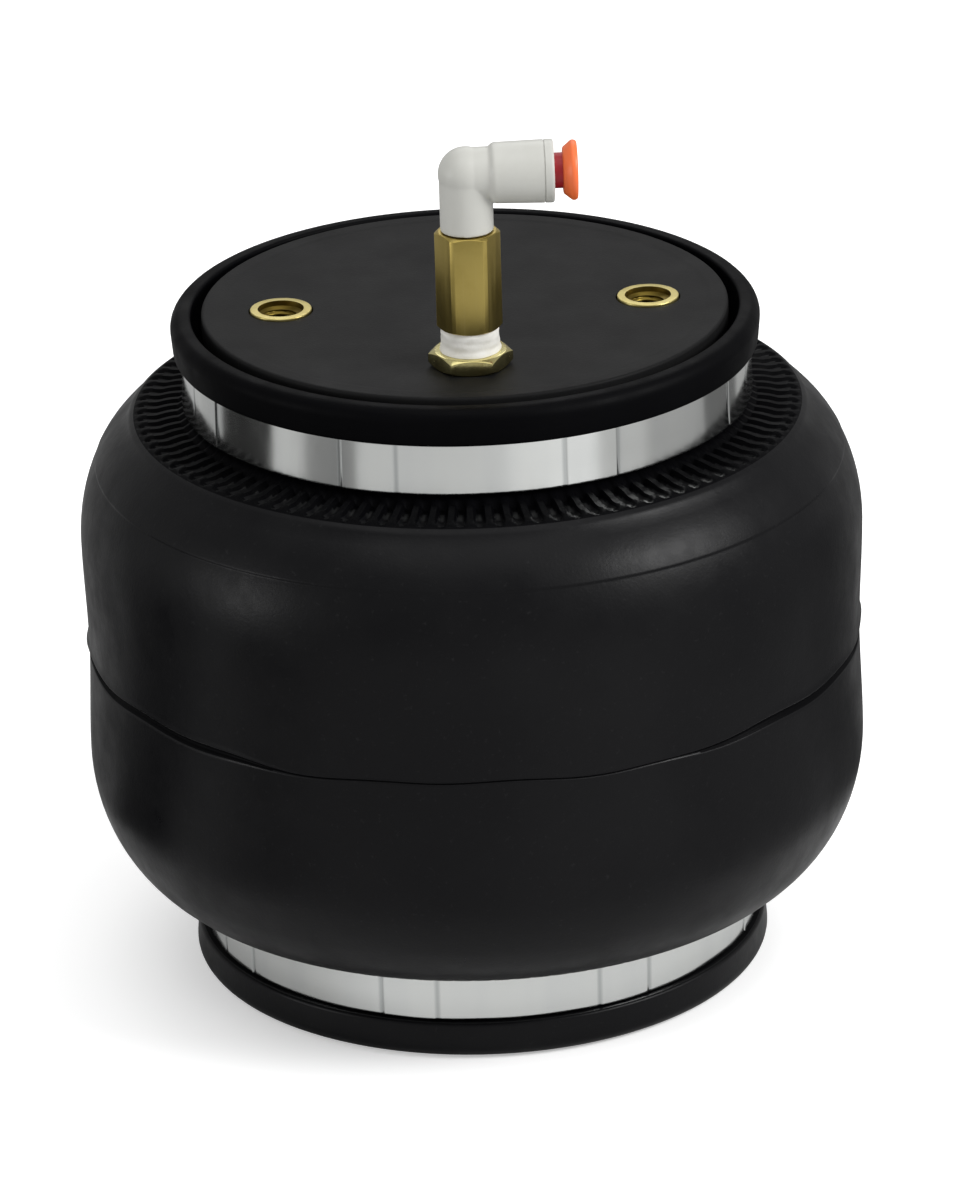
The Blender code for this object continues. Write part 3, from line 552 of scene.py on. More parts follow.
RUBBER = rubber_finish()
# Darker rubber on the lips, troughs and parting groove: painted shade
SHADED_RUBBER = shaded_rubber_finish()
NYLON = plate_finish()
ALUMINIUM = {
    end: band_finish(f"{end}_rolled_aluminium", start) for end, start in LAND_STARTS.items()
}
BAR_BRASS = brass_finish("drawn_brass", (1.0, 1.0, 0.04))
TURNED_BRASS = brass_finish("turned_brass", (0.3, 0.3, 1.0), (0.70, 0.60, 0.24))
BORE_BRASS = brass_finish(
    "shaded_brass", (0.3, 0.3, 1.0), (0.20, 0.145, 0.03), (0.12, 0.08, 0.015), (0.34, 0.26, 0.07),
)
BUSHING_BRASS = brass_finish(
    "bright_brass", (1.0, 1.0, 0.3), (0.84, 0.76, 0.36), rough=(0.16, 0.28),
)
SEALANT = sealant_finish()
RESIN = resin_finish("light_grey_resin", (0.53, 0.53, 0.495), (0.46, 0.46, 0.425), 0.38)
ORANGE = resin_finish("orange_resin", (0.88, 0.17, 0.045), (0.76, 0.13, 0.035), 0.36)
# The sleeve's neck: its orange resin painted darker red as shade
SHADED_SLEEVE_RED = resin_finish("shaded_red_resin", (0.40, 0.012, 0.022), (0.30, 0.010, 0.018), 0.40)
STEEL = steel_finish()
NITRILE = seal_finish()

LOWER_FRAME = Matrix.Identity(4)
UPPER_FRAME = Matrix.Translation((0.0, 0.0, FACE)) @ Matrix.Rotation(math.pi, 4, "X")
PORT_FRAME = Matrix.Translation((PORT.x, PORT.y, FACE))
ELBOW_FRAME = Matrix.Translation(ELBOW)
OUTLET_FRAME = ELBOW_FRAME @ Matrix.Rotation(math.pi / 2.0, 4, "Y")
ENDS = (("lower", "lower_end", LOWER_FRAME), ("upper", "upper_end", UPPER_FRAME))


# The rubber bellows
def shoulder(angle, thinner=0.0):
    """Radius and depth on the shoulder's elliptical arc, 0 degrees at its widest."""
    turn = np.radians(angle)
    centre = BELLOWS_RADIUS - SHOULDER_RADIAL
    radius = centre + (SHOULDER_RADIAL - thinner) * np.cos(turn)
    return radius, SHOULDER_DEPTH - (SHOULDER_AXIAL - thinner) * np.sin(turn)


TROUGH_DEPTH = shoulder(TROUGH_ANGLE)[1]
GROOVE_EDGE = BELLOWS_RADIUS - WAIST
GROOVE_HEIGHT = FACE / 2.0 - 0.0005


def outside_half():
    """Rows down the outside from the lip to the middle: radius, depth, shoulder angle."""
    start_radius, start_depth = shoulder(89.0)
    lip = rounded([
        (LIP_INNER, DISC_THICKNESS + LIP_SEAT, 0.0),
        (LIP_INNER, LIP_TOP, 0.0010),
        (LIP_RADIUS - 0.0018, LIP_TOP, 0.0014),
        (LIP_RADIUS, LIP_TOP + 0.0022, 0.0020),
        (LIP_RADIUS - 0.0006, LIP_FOOT, 0.0009),
        (RUBBER_OUTER, LIP_FOOT, 0.0003),
        (RUBBER_OUTER, BAND_END + 2.0 * FIT, 0.0006),
        (start_radius, start_depth, 0.0),
    ], closed=False)
    rows = [(radius, depth, 0.0) for radius, depth in lip[:-1]]
    angles = np.concatenate([
        np.linspace(89.0, RIDGE_END - 4.0, 32),
        np.linspace(RIDGE_END - 7.0, MOULD_RING + 2.0, 7),
        MOULD_RING + np.array([1.0, 0.5, 0.2, -0.1, -0.4, -0.9]),
        np.linspace(MOULD_RING - 3.0, 0.0, 9),
    ])
    rows.extend((*shoulder(angle), angle) for angle in angles)
    for t in np.linspace(0.15, 0.85, 5):
        depth = SHOULDER_DEPTH + (FACE / 2.0 - SHOULDER_DEPTH) * t
        rows.append((BELLOWS_RADIUS - WAIST * smooth(0.0, 1.0, t), depth, 0.0))
    return rows


def inside_half():
    """Rows from the middle back to the lip along the inside."""
    rows = [shoulder(angle, WALL) for angle in np.linspace(0.0, 88.0, 12)]
    rows.append((RUBBER_INNER + 0.0004, HUB_DEPTH + 0.0006))
    rows.extend((RUBBER_INNER, depth) for depth in (HUB_DEPTH - 0.001, 0.014, LIP_FOOT + FIT))
    return [(radius, depth, 0.0) for radius, depth in rows]


def parting_rows():
    """The mould's parting line at the middle: a lip of flash over a fine groove."""
    steps = (
        (0.0026, 0.0), (0.0016, 0.00002), (0.0011, 0.00018), (0.0008, 0.00020),
        (0.0005, 0.00006), (0.0002, -0.00080), (-0.0005, -0.00120), (-0.0012, -0.00080),
        (-0.0016, -0.00006), (-0.0026, 0.0),
    )
    return [(GROOVE_EDGE + out, FACE / 2.0 + rise) for rise, out in steps]


def ridge_offset(angle, phase, upper):
    """How far the shoulder stands out at a shoulder angle and a place within one ridge's pitch.
    upper is true on the upper half, which alone has the mould's ring and a high crest."""
    rise = np.where(upper, CREST_RISE, LOWER_CREST_RISE)
    off_centre = np.abs((phase + 0.5) % 1.0 - 0.5) / VALLEY_HALF
    round_end = 4.0 * (1.0 - np.sqrt(np.clip(1.0 - off_centre ** 2, 0.0, 1.0)))
    along = smooth(RIDGE_END, RIDGE_END + 3.2, angle - round_end)
    across = 1.0 - smooth(0.55, 1.12, off_centre)
    deep = VALLEY_DEPTH * (0.75 + 0.25 * smooth(RIDGE_END + 3.0, RIDGE_END + 11.0, angle))
    crest = rise * smooth(RIDGE_END - 6.5, RIDGE_END - 2.5, angle)
    crest = crest - (TROUGH_DROP + rise) * smooth(RIDGE_END + 0.5, RIDGE_END + 13.0, angle)
    mould_step = 0.00018 * upper * smooth(MOULD_RING - 0.4, MOULD_RING + 0.5, angle)
    mould_step *= 1.0 - smooth(MOULD_RING + 6.0, MOULD_RING + 20.0, angle)
    return crest + mould_step - deep * along * across


def swell(columns, away):
    """How far the free rubber stands out of round at an angle and a height from the middle."""
    return 0.00016 * np.sin(3.0 * columns + 0.7) + 0.00010 * np.sin(5.0 * columns + 30.0 * away)


def bellows():
    outside = outside_half()
    inside = inside_half()
    upper = [(radius, FACE - depth, angle, 1.0) for radius, depth, angle in outside]
    middle = [(radius, height, 0.0, 0.0) for radius, height in parting_rows()]
    lower = [(radius, depth, angle, -1.0) for radius, depth, angle in reversed(outside)]
    back = [(radius, depth, 0.0, 0.0) for radius, depth, _ in reversed(inside)]
    back += [(radius, FACE - depth, 0.0, 0.0) for radius, depth, _ in inside]
    rows = np.array(upper + middle + lower + back)
    angles = np.array([
        (i + phase) * 2.0 * math.pi / RIDGES for i in range(RIDGES) for phase in RIDGE_PHASES
    ])
    phases = np.tile(RIDGE_PHASES, RIDGES)
    turn = np.radians(rows[:, 2])
    out = np.cos(turn) / SHOULDER_RADIAL
    up = np.sin(turn) / SHOULDER_AXIAL
    length = np.hypot(out, up)
    on_shoulder = rows[:, 2] > 0.5
    index = np.arange(len(rows))
    outer_skin = index < len(upper) + len(middle) + len(lower)
    in_middle = ((index >= len(upper)) & (index < len(upper) + len(middle)))[:, None]

    def shape(radius, height, columns):
        # The parting groove is a fine line at the front, at -Y, and grows towards both sides
        from_front = np.abs((columns + math.pi * 1.5) % (2.0 * math.pi) - math.pi)
        share = GROOVE_SHARE + (1.0 - GROOVE_SHARE) * smooth(*GROOVE_GROWS, from_front)
        radius = np.where(in_middle, GROOVE_EDGE + (radius - GROOVE_EDGE) * share, radius)
        height = np.where(in_middle, GROOVE_HEIGHT + (height - GROOVE_HEIGHT) * share, height)
        offset = ridge_offset(rows[:, 2:3], phases[None, :], rows[:, 3:4] > 0.0)
        offset = offset * on_shoulder[:, None]
        radius = radius + offset * (out / length)[:, None]
        height = height + offset * (up / length * rows[:, 3])[:, None]
        away = height - FACE / 2.0
        free = (1.0 - smooth(*SWELL_FADES, np.abs(away))) * outer_skin[:, None]
        radius = radius + swell(columns, away) * free
        to_side = np.degrees(np.arccos(np.clip(np.abs(np.cos(columns)), 0.0, 1.0)))
        bump = FLASH_BUMP * np.exp(-(to_side / FLASH_SPREAD) ** 2 - (away / FLASH_HALF) ** 2)
        radius = radius + bump * outer_skin[:, None]
        wave = 0.00040 * np.sin(7.0 * columns + 0.4) + 0.00028 * np.sin(17.0 * columns + 1.9)
        height = height + wave * np.exp(-(away / 0.006) ** 2) * outer_skin[:, None]
        return radius, height

    piece = turned("rubber_bellows", rows, angles, shape=shape)
    seat(piece, None, [RUBBER, SHADED_RUBBER], "bellows", sharp=60.0)
    # The lips, the troughs under the bands and the floor of the parting groove get the darker
    # rubber: painted shade
    for face in piece.data.polygons:
        depth = min(face.center.z, FACE - face.center.z)
        in_trough = depth < TROUGH_DEPTH and face.center.z > LIP_FOOT
        angle = math.atan2(face.center.y, face.center.x)
        radius = math.hypot(face.center.x, face.center.y) - swell(angle, face.center.z - FACE / 2.0)
        in_groove = depth > FACE / 2.0 - 0.003 and radius < GROOVE_EDGE - 0.0002
        face.material_index = int(in_trough or in_groove)
    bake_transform(piece)


# The swaged bands
def band_angles():
    """Columns round the band, close together at the edges of each land."""
    edge = LAND_HALF + np.array([-0.30, -0.10, 0.10, 0.30, 0.60, 0.90])
    half = 180.0 / BAND_LANDS
    plain = np.linspace(LAND_HALF + 1.3, half, 9)[:-1]
    land = np.linspace(-LAND_HALF + 1.0, LAND_HALF - 1.0, 7)
    sector = np.concatenate([[-half], -plain[::-1], -edge[::-1], land, edge, plain])
    return np.array([math.radians(k * 2.0 * half + a) for k in range(BAND_LANDS) for a in sector])


def clamp_band(end, body):
    """A pressed ring with a raised land between each two of the eight jaw marks."""
    section = rounded([
        (BAND_INNER, BAND_END, 0.0002),
        (BAND_OUTER, BAND_END, 0.00030),
        (BAND_OUTER, BAND_START, 0.00020),
        (BAND_INNER, BAND_START, 0.0002),
    ])
    tall = BAND_END - BAND_START
    flat = np.linspace(BAND_END - 0.0006, BAND_START + 0.0006, 14)
    corner = int(np.argmax(section[:, 1] < BAND_START + tall / 2.0))
    side = [(BAND_OUTER, depth) for depth in flat]
    section = np.vstack([section[:corner], side, section[corner:]])

    def shape(radius, height, columns):
        sector = 2.0 * math.pi / BAND_LANDS
        from_land = np.degrees(np.abs((columns + sector / 2.0) % sector - sector / 2.0))
        land = 1.0 - smooth(LAND_HALF - 0.14, LAND_HALF + 0.14, from_land)
        crease = np.exp(-((from_land - CREASE) / 0.40) ** 2)
        depth = FACE - height if end == "upper" else height
        outer = smooth(BAND_INNER + 0.0006, BAND_OUTER - 0.0002, radius)
        pressed = 0.00007 * np.cos(8.0 * columns) + 0.00005 * np.sin(19.0 * columns + 1.0)
        lift = LAND_PROUD * land - CREASE_DEPTH * crease + pressed
        crown = 0.00008 * np.sin(math.pi * np.clip((depth - BAND_START) / tall, 0.0, 1.0))
        flare = BAND_FLARE * np.clip((depth - BAND_START) / tall * 2.0 - 1.0, 0.0, 1.0) ** 2
        return radius + outer * (lift + crown + flare), height

    if end == "upper":
        section[:, 1] = FACE - section[:, 1]
        section = section[::-1]
    turn = Matrix.Rotation(math.radians(LAND_STARTS[end]), 4, "Z")
    piece = turned(f"{end}_band", section, band_angles(), turn, shape)
    seat(piece, body, [ALUMINIUM[end]], f"{end}_clamp_band", sharp=50.0)


# The end plates, drawn from their mounting face at 0 inwards
def end_plate(end, body, place, with_port):
    inside = HUB_RADIUS - HUB_WALL
    section = [(0.0, DISC_THICKNESS), (inside, DISC_THICKNESS), (inside, HUB_DEPTH)]
    section.append((HUB_RADIUS - 2.0 * BARB_HEIGHT, HUB_DEPTH))
    pitch = (BAND_END - BAND_START) / 2.0
    for barb in (1, 0):
        section.append((HUB_RADIUS, BAND_START + pitch * (barb + BARB_CREST)))
        section.append((HUB_RADIUS - BARB_HEIGHT, BAND_START + pitch * (barb + BARB_ROOT)))
    rim = rounded([
        (HUB_RADIUS - BARB_HEIGHT, DISC_THICKNESS, 0.0),
        (DISC_RADIUS, DISC_THICKNESS, 0.0003),
        (DISC_RADIUS, 0.0, 0.0009),
        (RIM_INNER + 0.0012, 0.0, 0.0008),
        (RIM_INNER, RIM_HEIGHT, 0.0008),
        (0.0, RIM_HEIGHT, 0.0),
    ], closed=False)
    section.extend(rim.tolist())
    plate = turned(f"{end}_plate", section, 192)
    root = DISC_THICKNESS / 2.0
    ribs = boxes(
        "ribs", RIB_COUNT, BOSS_RADIUS - RIB_THICKNESS, inside + HUB_WALL / 2.0,
        RIB_THICKNESS, root, RIB_DEPTH,
    )
    combine(plate, ribs, "UNION")
    half = RIB_THICKNESS / 2.0
    ring_top = RIB_DEPTH - RIB_THICKNESS
    ring = [
        (RING_RIB_RADIUS - half, ring_top), (RING_RIB_RADIUS + half, ring_top),
        (RING_RIB_RADIUS + half, root), (RING_RIB_RADIUS - half, root),
    ]
    combine(plate, turned("ring", ring, 96), "UNION")
    boss = cylinder(BOSS_RADIUS, root, RIB_DEPTH)
    combine(plate, turned("boss", boss, 64), "UNION")
    for side in (-1.0, 1.0):
        spot = Matrix.Translation((side * INSERT_OFFSET, 0.0, 0.0))
        deep = INSERT_LENGTH + FIT + BOSS_WALL / 2.0
        post = cylinder(INSERT_RADIUS + FIT + BOSS_WALL, root, deep)
        combine(plate, turned("post", post, 64, spot), "UNION")
        barrel, flange = INSERT_BARREL + FIT, INSERT_RADIUS + FIT
        floor, ledge = INSERT_LENGTH + FIT, INSERT_FLANGE + FIT
        pocket = [
            (0.0, floor), (barrel, floor), (barrel, ledge), (flange, ledge), (flange, FIT),
            (flange + FIT + OVERSHOOT, -OVERSHOOT), (0.0, -OVERSHOOT),
        ]
        combine(plate, turned("pocket", pocket, 64, spot), "DIFFERENCE")
    if with_port:
        spot = Matrix.Translation((PORT.x, -PORT.y, 0.0))
        post = cylinder(PORT_BARREL + FIT + BOSS_WALL, root, PORT_LENGTH)
        combine(plate, turned("post", post, 64, spot), "UNION")
        hole = cylinder(PORT_BARREL + FIT, -OVERSHOOT, PORT_LENGTH + OVERSHOOT)
        combine(plate, turned("hole", hole, 96, spot), "DIFFERENCE")
    else:
        hole = cylinder(SCREW_HOLE_RADIUS, SCREW_HOLE_FLOOR, RIB_DEPTH + OVERSHOOT)
        combine(plate, turned("hole", hole, 48), "DIFFERENCE")
    plate.data.transform(place)
    seat(plate, body, [NYLON], f"{end}_end_plate")


def threaded_insert(end, body, place, side, proud):
    """A blind brass insert with a real thread in its bore."""
    groove = [INSERT_LENGTH * share for share in BARREL_GROOVE]
    outer = rounded([
        (MOUTH_RADIUS, -proud, 0.00020),
        (INSERT_RADIUS, -proud, 0.0003),
        (INSERT_RADIUS, INSERT_FLANGE, 0.0001),
        (INSERT_BARREL, INSERT_FLANGE, 0.0001),
        (INSERT_BARREL, groove[0], 0.0002),
        (INSERT_BARREL - INSERT_GROOVE, groove[1], 0.0002),
        (INSERT_BARREL - INSERT_GROOVE, groove[2], 0.0002),
        (INSERT_BARREL, groove[3], 0.0002),
        (INSERT_BARREL, INSERT_LENGTH, 0.0004),
        (0.0, INSERT_LENGTH, 0.0),
    ], closed=False)
    mouth_end = MOUTH_DEPTH - proud
    depths = np.arange(THREAD_DEPTH, mouth_end + 0.0004, -THREAD_PITCH / 8.0)
    thread = [(THREAD_CORE, depth) for depth in depths]
    section = np.vstack([
        outer[::-1], [(MOUTH_RADIUS - 0.0001, mouth_end)], thread[::-1],
        [(0.0, THREAD_DEPTH + DRILL_POINT)],
    ])

    def shape(radius, height, columns):
        bore = (radius < THREAD_CORE + 1e-6) & (radius > 1e-6)
        phase = (height / THREAD_PITCH - columns / (2.0 * math.pi)) % 1.0
        ramp = 1.0 - np.abs(2.0 * phase - 1.0)
        cut = (THREAD_RADIUS - THREAD_CORE) * smooth(0.12, 0.88, ramp)
        fade = 1.0 - smooth(THREAD_DEPTH - 0.0015, THREAD_DEPTH - 0.0003, height)
        mouth = smooth(mouth_end, mouth_end + 0.0008, height)
        return radius + cut * bore * fade * (0.4 + 0.6 * mouth), height

    side_name = "left" if side < 0.0 else "right"
    spot = place @ Matrix.Translation((side * INSERT_OFFSET, 0.0, 0.0))
    piece = turned(f"{end}_insert_{side_name}_turned", section, 64, spot, shape)
    seat(piece, body, [TURNED_BRASS, BORE_BRASS], f"{end}_insert_{side_name}", sharp=40.0)
    for face in piece.data.polygons:
        local = spot.inverted() @ face.center
        in_mouth = math.hypot(local.x, local.y) < MOUTH_RADIUS - 0.00003
        face.material_index = int(in_mouth and local.z < THREAD_DEPTH + DRILL_POINT + 0.0001)


# The air fitting
def port_bushing():
    low = -0.0002
    groove = [-PORT_LENGTH * share for share in BARREL_GROOVE]
    piece = hexagon("port_bushing_hex", PORT_FLATS, low, PORT_FLANGE)
    barrel = rounded([
        (0.0, PORT_FLANGE / 2.0, 0.0),
        (PORT_BARREL, PORT_FLANGE / 2.0, 0.0),
        (PORT_BARREL, groove[0], 0.0002),
        (PORT_BARREL - PORT_GROOVE, groove[1], 0.0002),
        (PORT_BARREL - PORT_GROOVE, groove[2], 0.0002),
        (PORT_BARREL, groove[3], 0.0002),
        (PORT_BARREL, -PORT_LENGTH, 0.0006),
        (0.0, -PORT_LENGTH, 0.0),
    ], closed=False)
    combine(piece, turned("barrel", barrel, 96), "UNION")
    bore = [
        (0.0, PORT_FLANGE + OVERSHOOT), (PORT_BORE + 0.0016, PORT_FLANGE + OVERSHOOT),
        (PORT_BORE, PORT_FLANGE - 0.0006), (PORT_BORE, -PORT_LENGTH - OVERSHOOT),
        (0.0, -PORT_LENGTH - OVERSHOOT),
    ]
    combine(piece, turned("bore", bore, 96), "DIFFERENCE")
    piece.data.transform(PORT_FRAME)
    seat(piece, "upper_end", [BUSHING_BRASS], "port_bushing", sharp=25.0)


def thread_seal():
    """Sealant squeezed out of the thread: a soft white collar with a foot on the bushing."""
    low, high = FACE + PORT_FLANGE + 0.00005, EXTENSION_LOW - 0.00005
    tall = high - low
    skin = [(SEALANT_RADIUS, low + tall * t) for t in np.linspace(1.0, 0.0, 22)]
    section = [(PORT_BORE, high), *skin, (PORT_BORE, low)]

    def shape(radius, height, columns):
        t = np.clip((height - low) / tall, 0.0, 1.0)
        foot = 0.00045 * (1.0 - smooth(0.0, 0.25, t)) * (0.8 + 0.2 * np.sin(3.0 * columns + 0.6))
        lumps = 0.00007 * np.sin(4.0 * columns + 7.0 * t)
        lumps = lumps + 0.00004 * np.sin(9.0 * columns - 11.0 * t)
        turns = 0.00003 * np.sin(2.0 * math.pi * (3.4 * t + columns / (2.0 * math.pi)))
        shoulder = -0.0004 * smooth(0.86, 1.0, t)
        outside = radius > PORT_BORE + 1e-5
        return radius + outside * (foot + lumps + turns + shoulder), height

    place = Matrix.Translation((PORT.x, PORT.y, 0.0))
    piece = turned("thread_sealant", section, 120, place, shape)
    seat(piece, "upper_end", [SEALANT], "thread_seal", sharp=60.0)


def hex_extension():
    low, high = EXTENSION_LOW - FACE, EXTENSION_HIGH - FACE
    piece = hexagon("extension_hex", EXTENSION_FLATS, low, high, EXTENSION_REACH)
    top = high + POST_HEIGHT
    nipple = PORT_BORE - 0.0004
    foot = low - NIPPLE_LENGTH
    core = rounded([
        (0.0, top, 0.0),
        (POST_RADIUS - 0.0004, top, 0.0002),
        (POST_RADIUS + SNAP_BEAD, top - 0.0015, 0.0002),
        (POST_RADIUS + SNAP_BEAD, top - 0.0023, 0.0002),
        (POST_RADIUS, top - 0.0027, 0.0001),
        (POST_RADIUS, high + O_RING_HIGH, 0.0001),
        (O_RING_ROOT, high + O_RING_HIGH, 0.0001),
        (O_RING_ROOT, high + O_RING_LOW, 0.0001),
        (POST_RADIUS, high + O_RING_LOW, 0.0001),
        (POST_RADIUS, high - 0.0010, 0.0),
        (nipple, high - 0.0020, 0.0),
        (nipple, foot, 0.0008),
        (0.0, foot, 0.0),
    ], closed=False)
    combine(piece, turned("core", core, 96), "UNION")
    bore = cylinder(AIR_RADIUS, foot - OVERSHOOT, top + OVERSHOOT)
    combine(piece, turned("bore", bore, 48), "DIFFERENCE")
    piece.data.transform(PORT_FRAME)
    seat(piece, "upper_end", [BAR_BRASS], "hex_extension", sharp=25.0)


def elbow():
    """The moulded elbow: head, rounded corner and riser grown together, then bored. It is made in
    millimetres about its own centre, because the remesh needs sizes near 1."""
    def mm(points):
        return [tuple(1000.0 * value for value in point) for point in points]

    turn = Matrix.Rotation(math.pi / 2.0, 4, "Y")
    head = rounded(mm([
        (0.0, HEAD_END, 0.0),
        (HEAD_RADIUS + 0.00012, HEAD_END, 0.0006),
        (HEAD_RADIUS - 0.00020, HEAD_START, 0.0010),
        (RISER_RADIUS, HEAD_START - 0.0009, 0.0003),
        (RISER_RADIUS - 0.0001, -0.0008, 0.0),
        (0.0, -0.0008, 0.0),
    ]), closed=False)
    piece = turned("moulded_elbow", head, 96, turn)
    ball = mm([
        (CORNER_RADIUS * math.sin(angle), CORNER_RADIUS * math.cos(angle))
        for angle in np.linspace(0.0, math.pi, 33)
    ])
    ball[0], ball[-1] = (0.0, ball[0][1]), (0.0, ball[-1][1])
    combine(piece, turned("corner", ball, 64), "UNION")
    foot = EXTENSION_HIGH + FIT - ELBOW.z
    combine(piece, turned("riser", mm(cylinder(RISER_RADIUS, foot, 0.0011)), 96), "UNION")
    remesh = piece.modifiers.new("grow", "REMESH")
    remesh.mode = "VOXEL"
    remesh.voxel_size = ELBOW_VOXEL
    relax = piece.modifiers.new("relax", "SMOOTH")
    relax.factor = 0.5
    relax.iterations = 5
    applied(piece)
    post_top = foot - FIT + POST_HEIGHT
    bead = POST_RADIUS + SNAP_BEAD + FIT
    swivel = mm([
        (0.0, 0.0004), (AIR_RADIUS, 0.0004), (AIR_RADIUS, post_top + FIT), (bead, post_top + FIT),
        (bead, post_top - SNAP_POCKET), (POST_RADIUS + FIT, post_top - SNAP_POCKET),
        (POST_RADIUS + FIT, foot - OVERSHOOT), (0.0, foot - OVERSHOOT),
    ])
    combine(piece, turned("swivel", swivel, 64), "DIFFERENCE")
    socket = mm([
        (0.0, HEAD_END + OVERSHOOT), (CHAMBER_RADIUS, HEAD_END + OVERSHOOT),
        (CHAMBER_RADIUS, PACKING_END), (PACKING_RADIUS, PACKING_END),
        (PACKING_RADIUS, PACKING_START), (TUBE_BORE, PACKING_START), (TUBE_BORE, TUBE_STOP),
        (AIR_RADIUS, TUBE_STOP), (AIR_RADIUS, -AIR_RADIUS / 2.0), (0.0, -AIR_RADIUS / 2.0),
    ])
    combine(piece, turned("socket", socket, 64, turn), "DIFFERENCE")
    inner, outer = HEAD_RADIUS - 0.00012, HEAD_RADIUS + OVERSHOOT
    near, far = HEAD_END - HEAD_LINE, HEAD_END - HEAD_LINE - 0.0003
    line = mm([(inner, near), (outer, near), (outer, far), (inner, far)])
    combine(piece, turned("line", line, 96, turn), "DIFFERENCE")
    piece.data.transform(ELBOW_FRAME @ Matrix.Scale(0.001, 4))
    seat(piece, "elbow", [RESIN], "elbow_body", sharp=50.0)


def release_sleeve():
    """The orange sleeve; its neck behind the flange is a darker red, which is painted shade."""
    section = rounded([
        (TUBE_BORE + 0.0007, SLEEVE_FRONT, 0.0003),
        (SLEEVE_RADIUS - 0.0003, SLEEVE_FRONT, 0.0006),
        (SLEEVE_RADIUS, SLEEVE_BACK + 0.0022, 0.0005),
        (SLEEVE_NECK + 0.0012, SLEEVE_BACK, 0.0003),
        (SLEEVE_NECK, SLEEVE_BACK, 0.0001),
        (SLEEVE_NECK, SLEEVE_TIP + 0.0013, 0.0001),
        (SLEEVE_NECK + 0.0006, SLEEVE_TIP + 0.0011, 0.0001),
        (SLEEVE_NECK - 0.0002, SLEEVE_TIP, 0.0002),
        (TUBE_BORE, SLEEVE_TIP, 0.0001),
        (TUBE_BORE, SLEEVE_FRONT - 0.0006, 0.0001),
    ])
    piece = turned("release_sleeve_moulded", section, 96, OUTLET_FRAME)
    seat(piece, "release", [ORANGE, SHADED_SLEEVE_RED], "release_sleeve", sharp=40.0)
    # The neck behind the flange gets the darker red: painted shade
    for face in piece.data.polygons:
        if face.center.x - ELBOW.x < SLEEVE_BACK - 0.00005:
            face.material_index = 1


def carried_over_nodes():
    """Procedural finishes for the CAD nodes that keep their own solid."""
    finishes = {
        "bump_stop": RUBBER, "bump_stop_washer": STEEL, "bump_stop_screw": STEEL,
        "swivel_o_ring": NITRILE, "tube_seal": NITRILE, "collet": STEEL, "collar": TURNED_BRASS,
    }
    for name, material in finishes.items():
        mesh = frame["nodes"][name].data
        mesh.materials.clear()
        mesh.materials.append(material)


bellows()
for end, body, place in ENDS:
    end_plate(end, body, place, end == "upper")
    clamp_band(end, body)
    proud = UPPER_INSERT_TOP - FACE if end == "upper" else 0.0
    threaded_insert(end, body, place, -1.0, proud)
    threaded_insert(end, body, place, 1.0, proud)
port_bushing()
thread_seal()
hex_extension()
elbow()
release_sleeve()
carried_over_nodes()


# Studio
WORLD_LIGHT = 0.60
WORLD_IN_GLOSS = 0.35
CARD_INNER = 0.14
CARD_OUTER = 1.60

# Cards round the object: where each starts, in degrees from the front towards the right, and how
# bright it is
CARDS = (
    (-180, 0.40), (-130, 0.35), (-110, 0.02), (-82, 0.45), (-67, 0.18), (-45, 0.46),
    (10, 0.54), (46, 0.32), (70, 0.24), (100, 0.10), (125, 0.30),
)
CARD_EDGE = 2.0

FLOOR_SIZE = 4.0
FLOOR_GREY = (0.68, 0.68, 0.68)
FLOOR_SEEN = (0.975, 0.975, 0.975)
FLOOR_GLOW = 0.36

# Soft lamps: azimuth from the front towards the right, elevation, distance, width, height, power
LAMPS = {
    "top_light": (5.0, 80.0, 1.7, 1.6, 1.6, 8.0),
    "left_light": (-70.0, 10.0, 1.3, 0.35, 0.30, 2.4),
    "right_light": (65.0, 34.0, 1.5, 0.7, 0.5, 14.0),
    "back_light": (178.0, 40.0, 1.7, 1.2, 0.6, 4.0),
}

# Camera: the focal length is in pixels of the photo, which is 1200 pixels tall
PHOTO_HEIGHT = 1200.0
FOCAL_LENGTH = 7049.0
SENSOR_HEIGHT = 36.0
CAMERA_TARGET = (0.0, 0.0, 0.0918)
CAMERA_DISTANCE = 1.735
CAMERA_ELEVATION = 22.89
CAMERA_AZIMUTH = 1.6
CAMERA_ROLL = 1.65
CAMERA_ACROSS = 0.00240
CAMERA_DOWN = 0.00093


def aim(obj, target):
    direction = Vector(target) - obj.location
    obj.rotation_euler = direction.to_track_quat("-Z", "Y").to_euler()


def softbox(name, azimuth, elevation, distance, width, height, power):
    """A rectangular lamp that is aimed at the middle of the object."""
    lamp = bpy.data.lights.new(name, "AREA")
    lamp.shape = "RECTANGLE"
    lamp.size = width
    lamp.size_y = height
    lamp.energy = power
    obj = bpy.data.objects.new(name, lamp)
    side, rise = math.radians(azimuth), math.radians(elevation)
    obj.location = Vector((
        distance * math.sin(side) * math.cos(rise),
        -distance * math.cos(side) * math.cos(rise),
        FACE / 2.0 + distance * math.sin(rise),
    ))
    aim(obj, (0.0, 0.0, FACE / 2.0))
    bpy.context.scene.collection.objects.link(obj)


def studio_floor():
    """A plain floor: white to the camera, and pale grey in reflections and as a bounce card."""
    shape = bmesh.new()
    bmesh.ops.create_grid(shape, x_segments=8, y_segments=8, size=FLOOR_SIZE / 2.0)
    mesh = bpy.data.meshes.new("studio_floor")
    shape.to_mesh(mesh)
    shape.free()
    floor = add("studio_floor", mesh)
    made = Finish("pale_floor", FLOOR_GREY, 0.9, specular=0.0)
    to_camera = made.node("ShaderNodeLightPath").outputs["Is Camera Ray"]
    made.tint(to_camera, FLOOR_SEEN)
    made.shader.inputs["Emission Color"].default_value = (1.0, 1.0, 1.0, 1.0)
    glow = made.math("MULTIPLY", to_camera, FLOOR_GLOW)
    made.put(made.shader.inputs["Emission Strength"], glow)
    floor.data.materials.append(made.material)


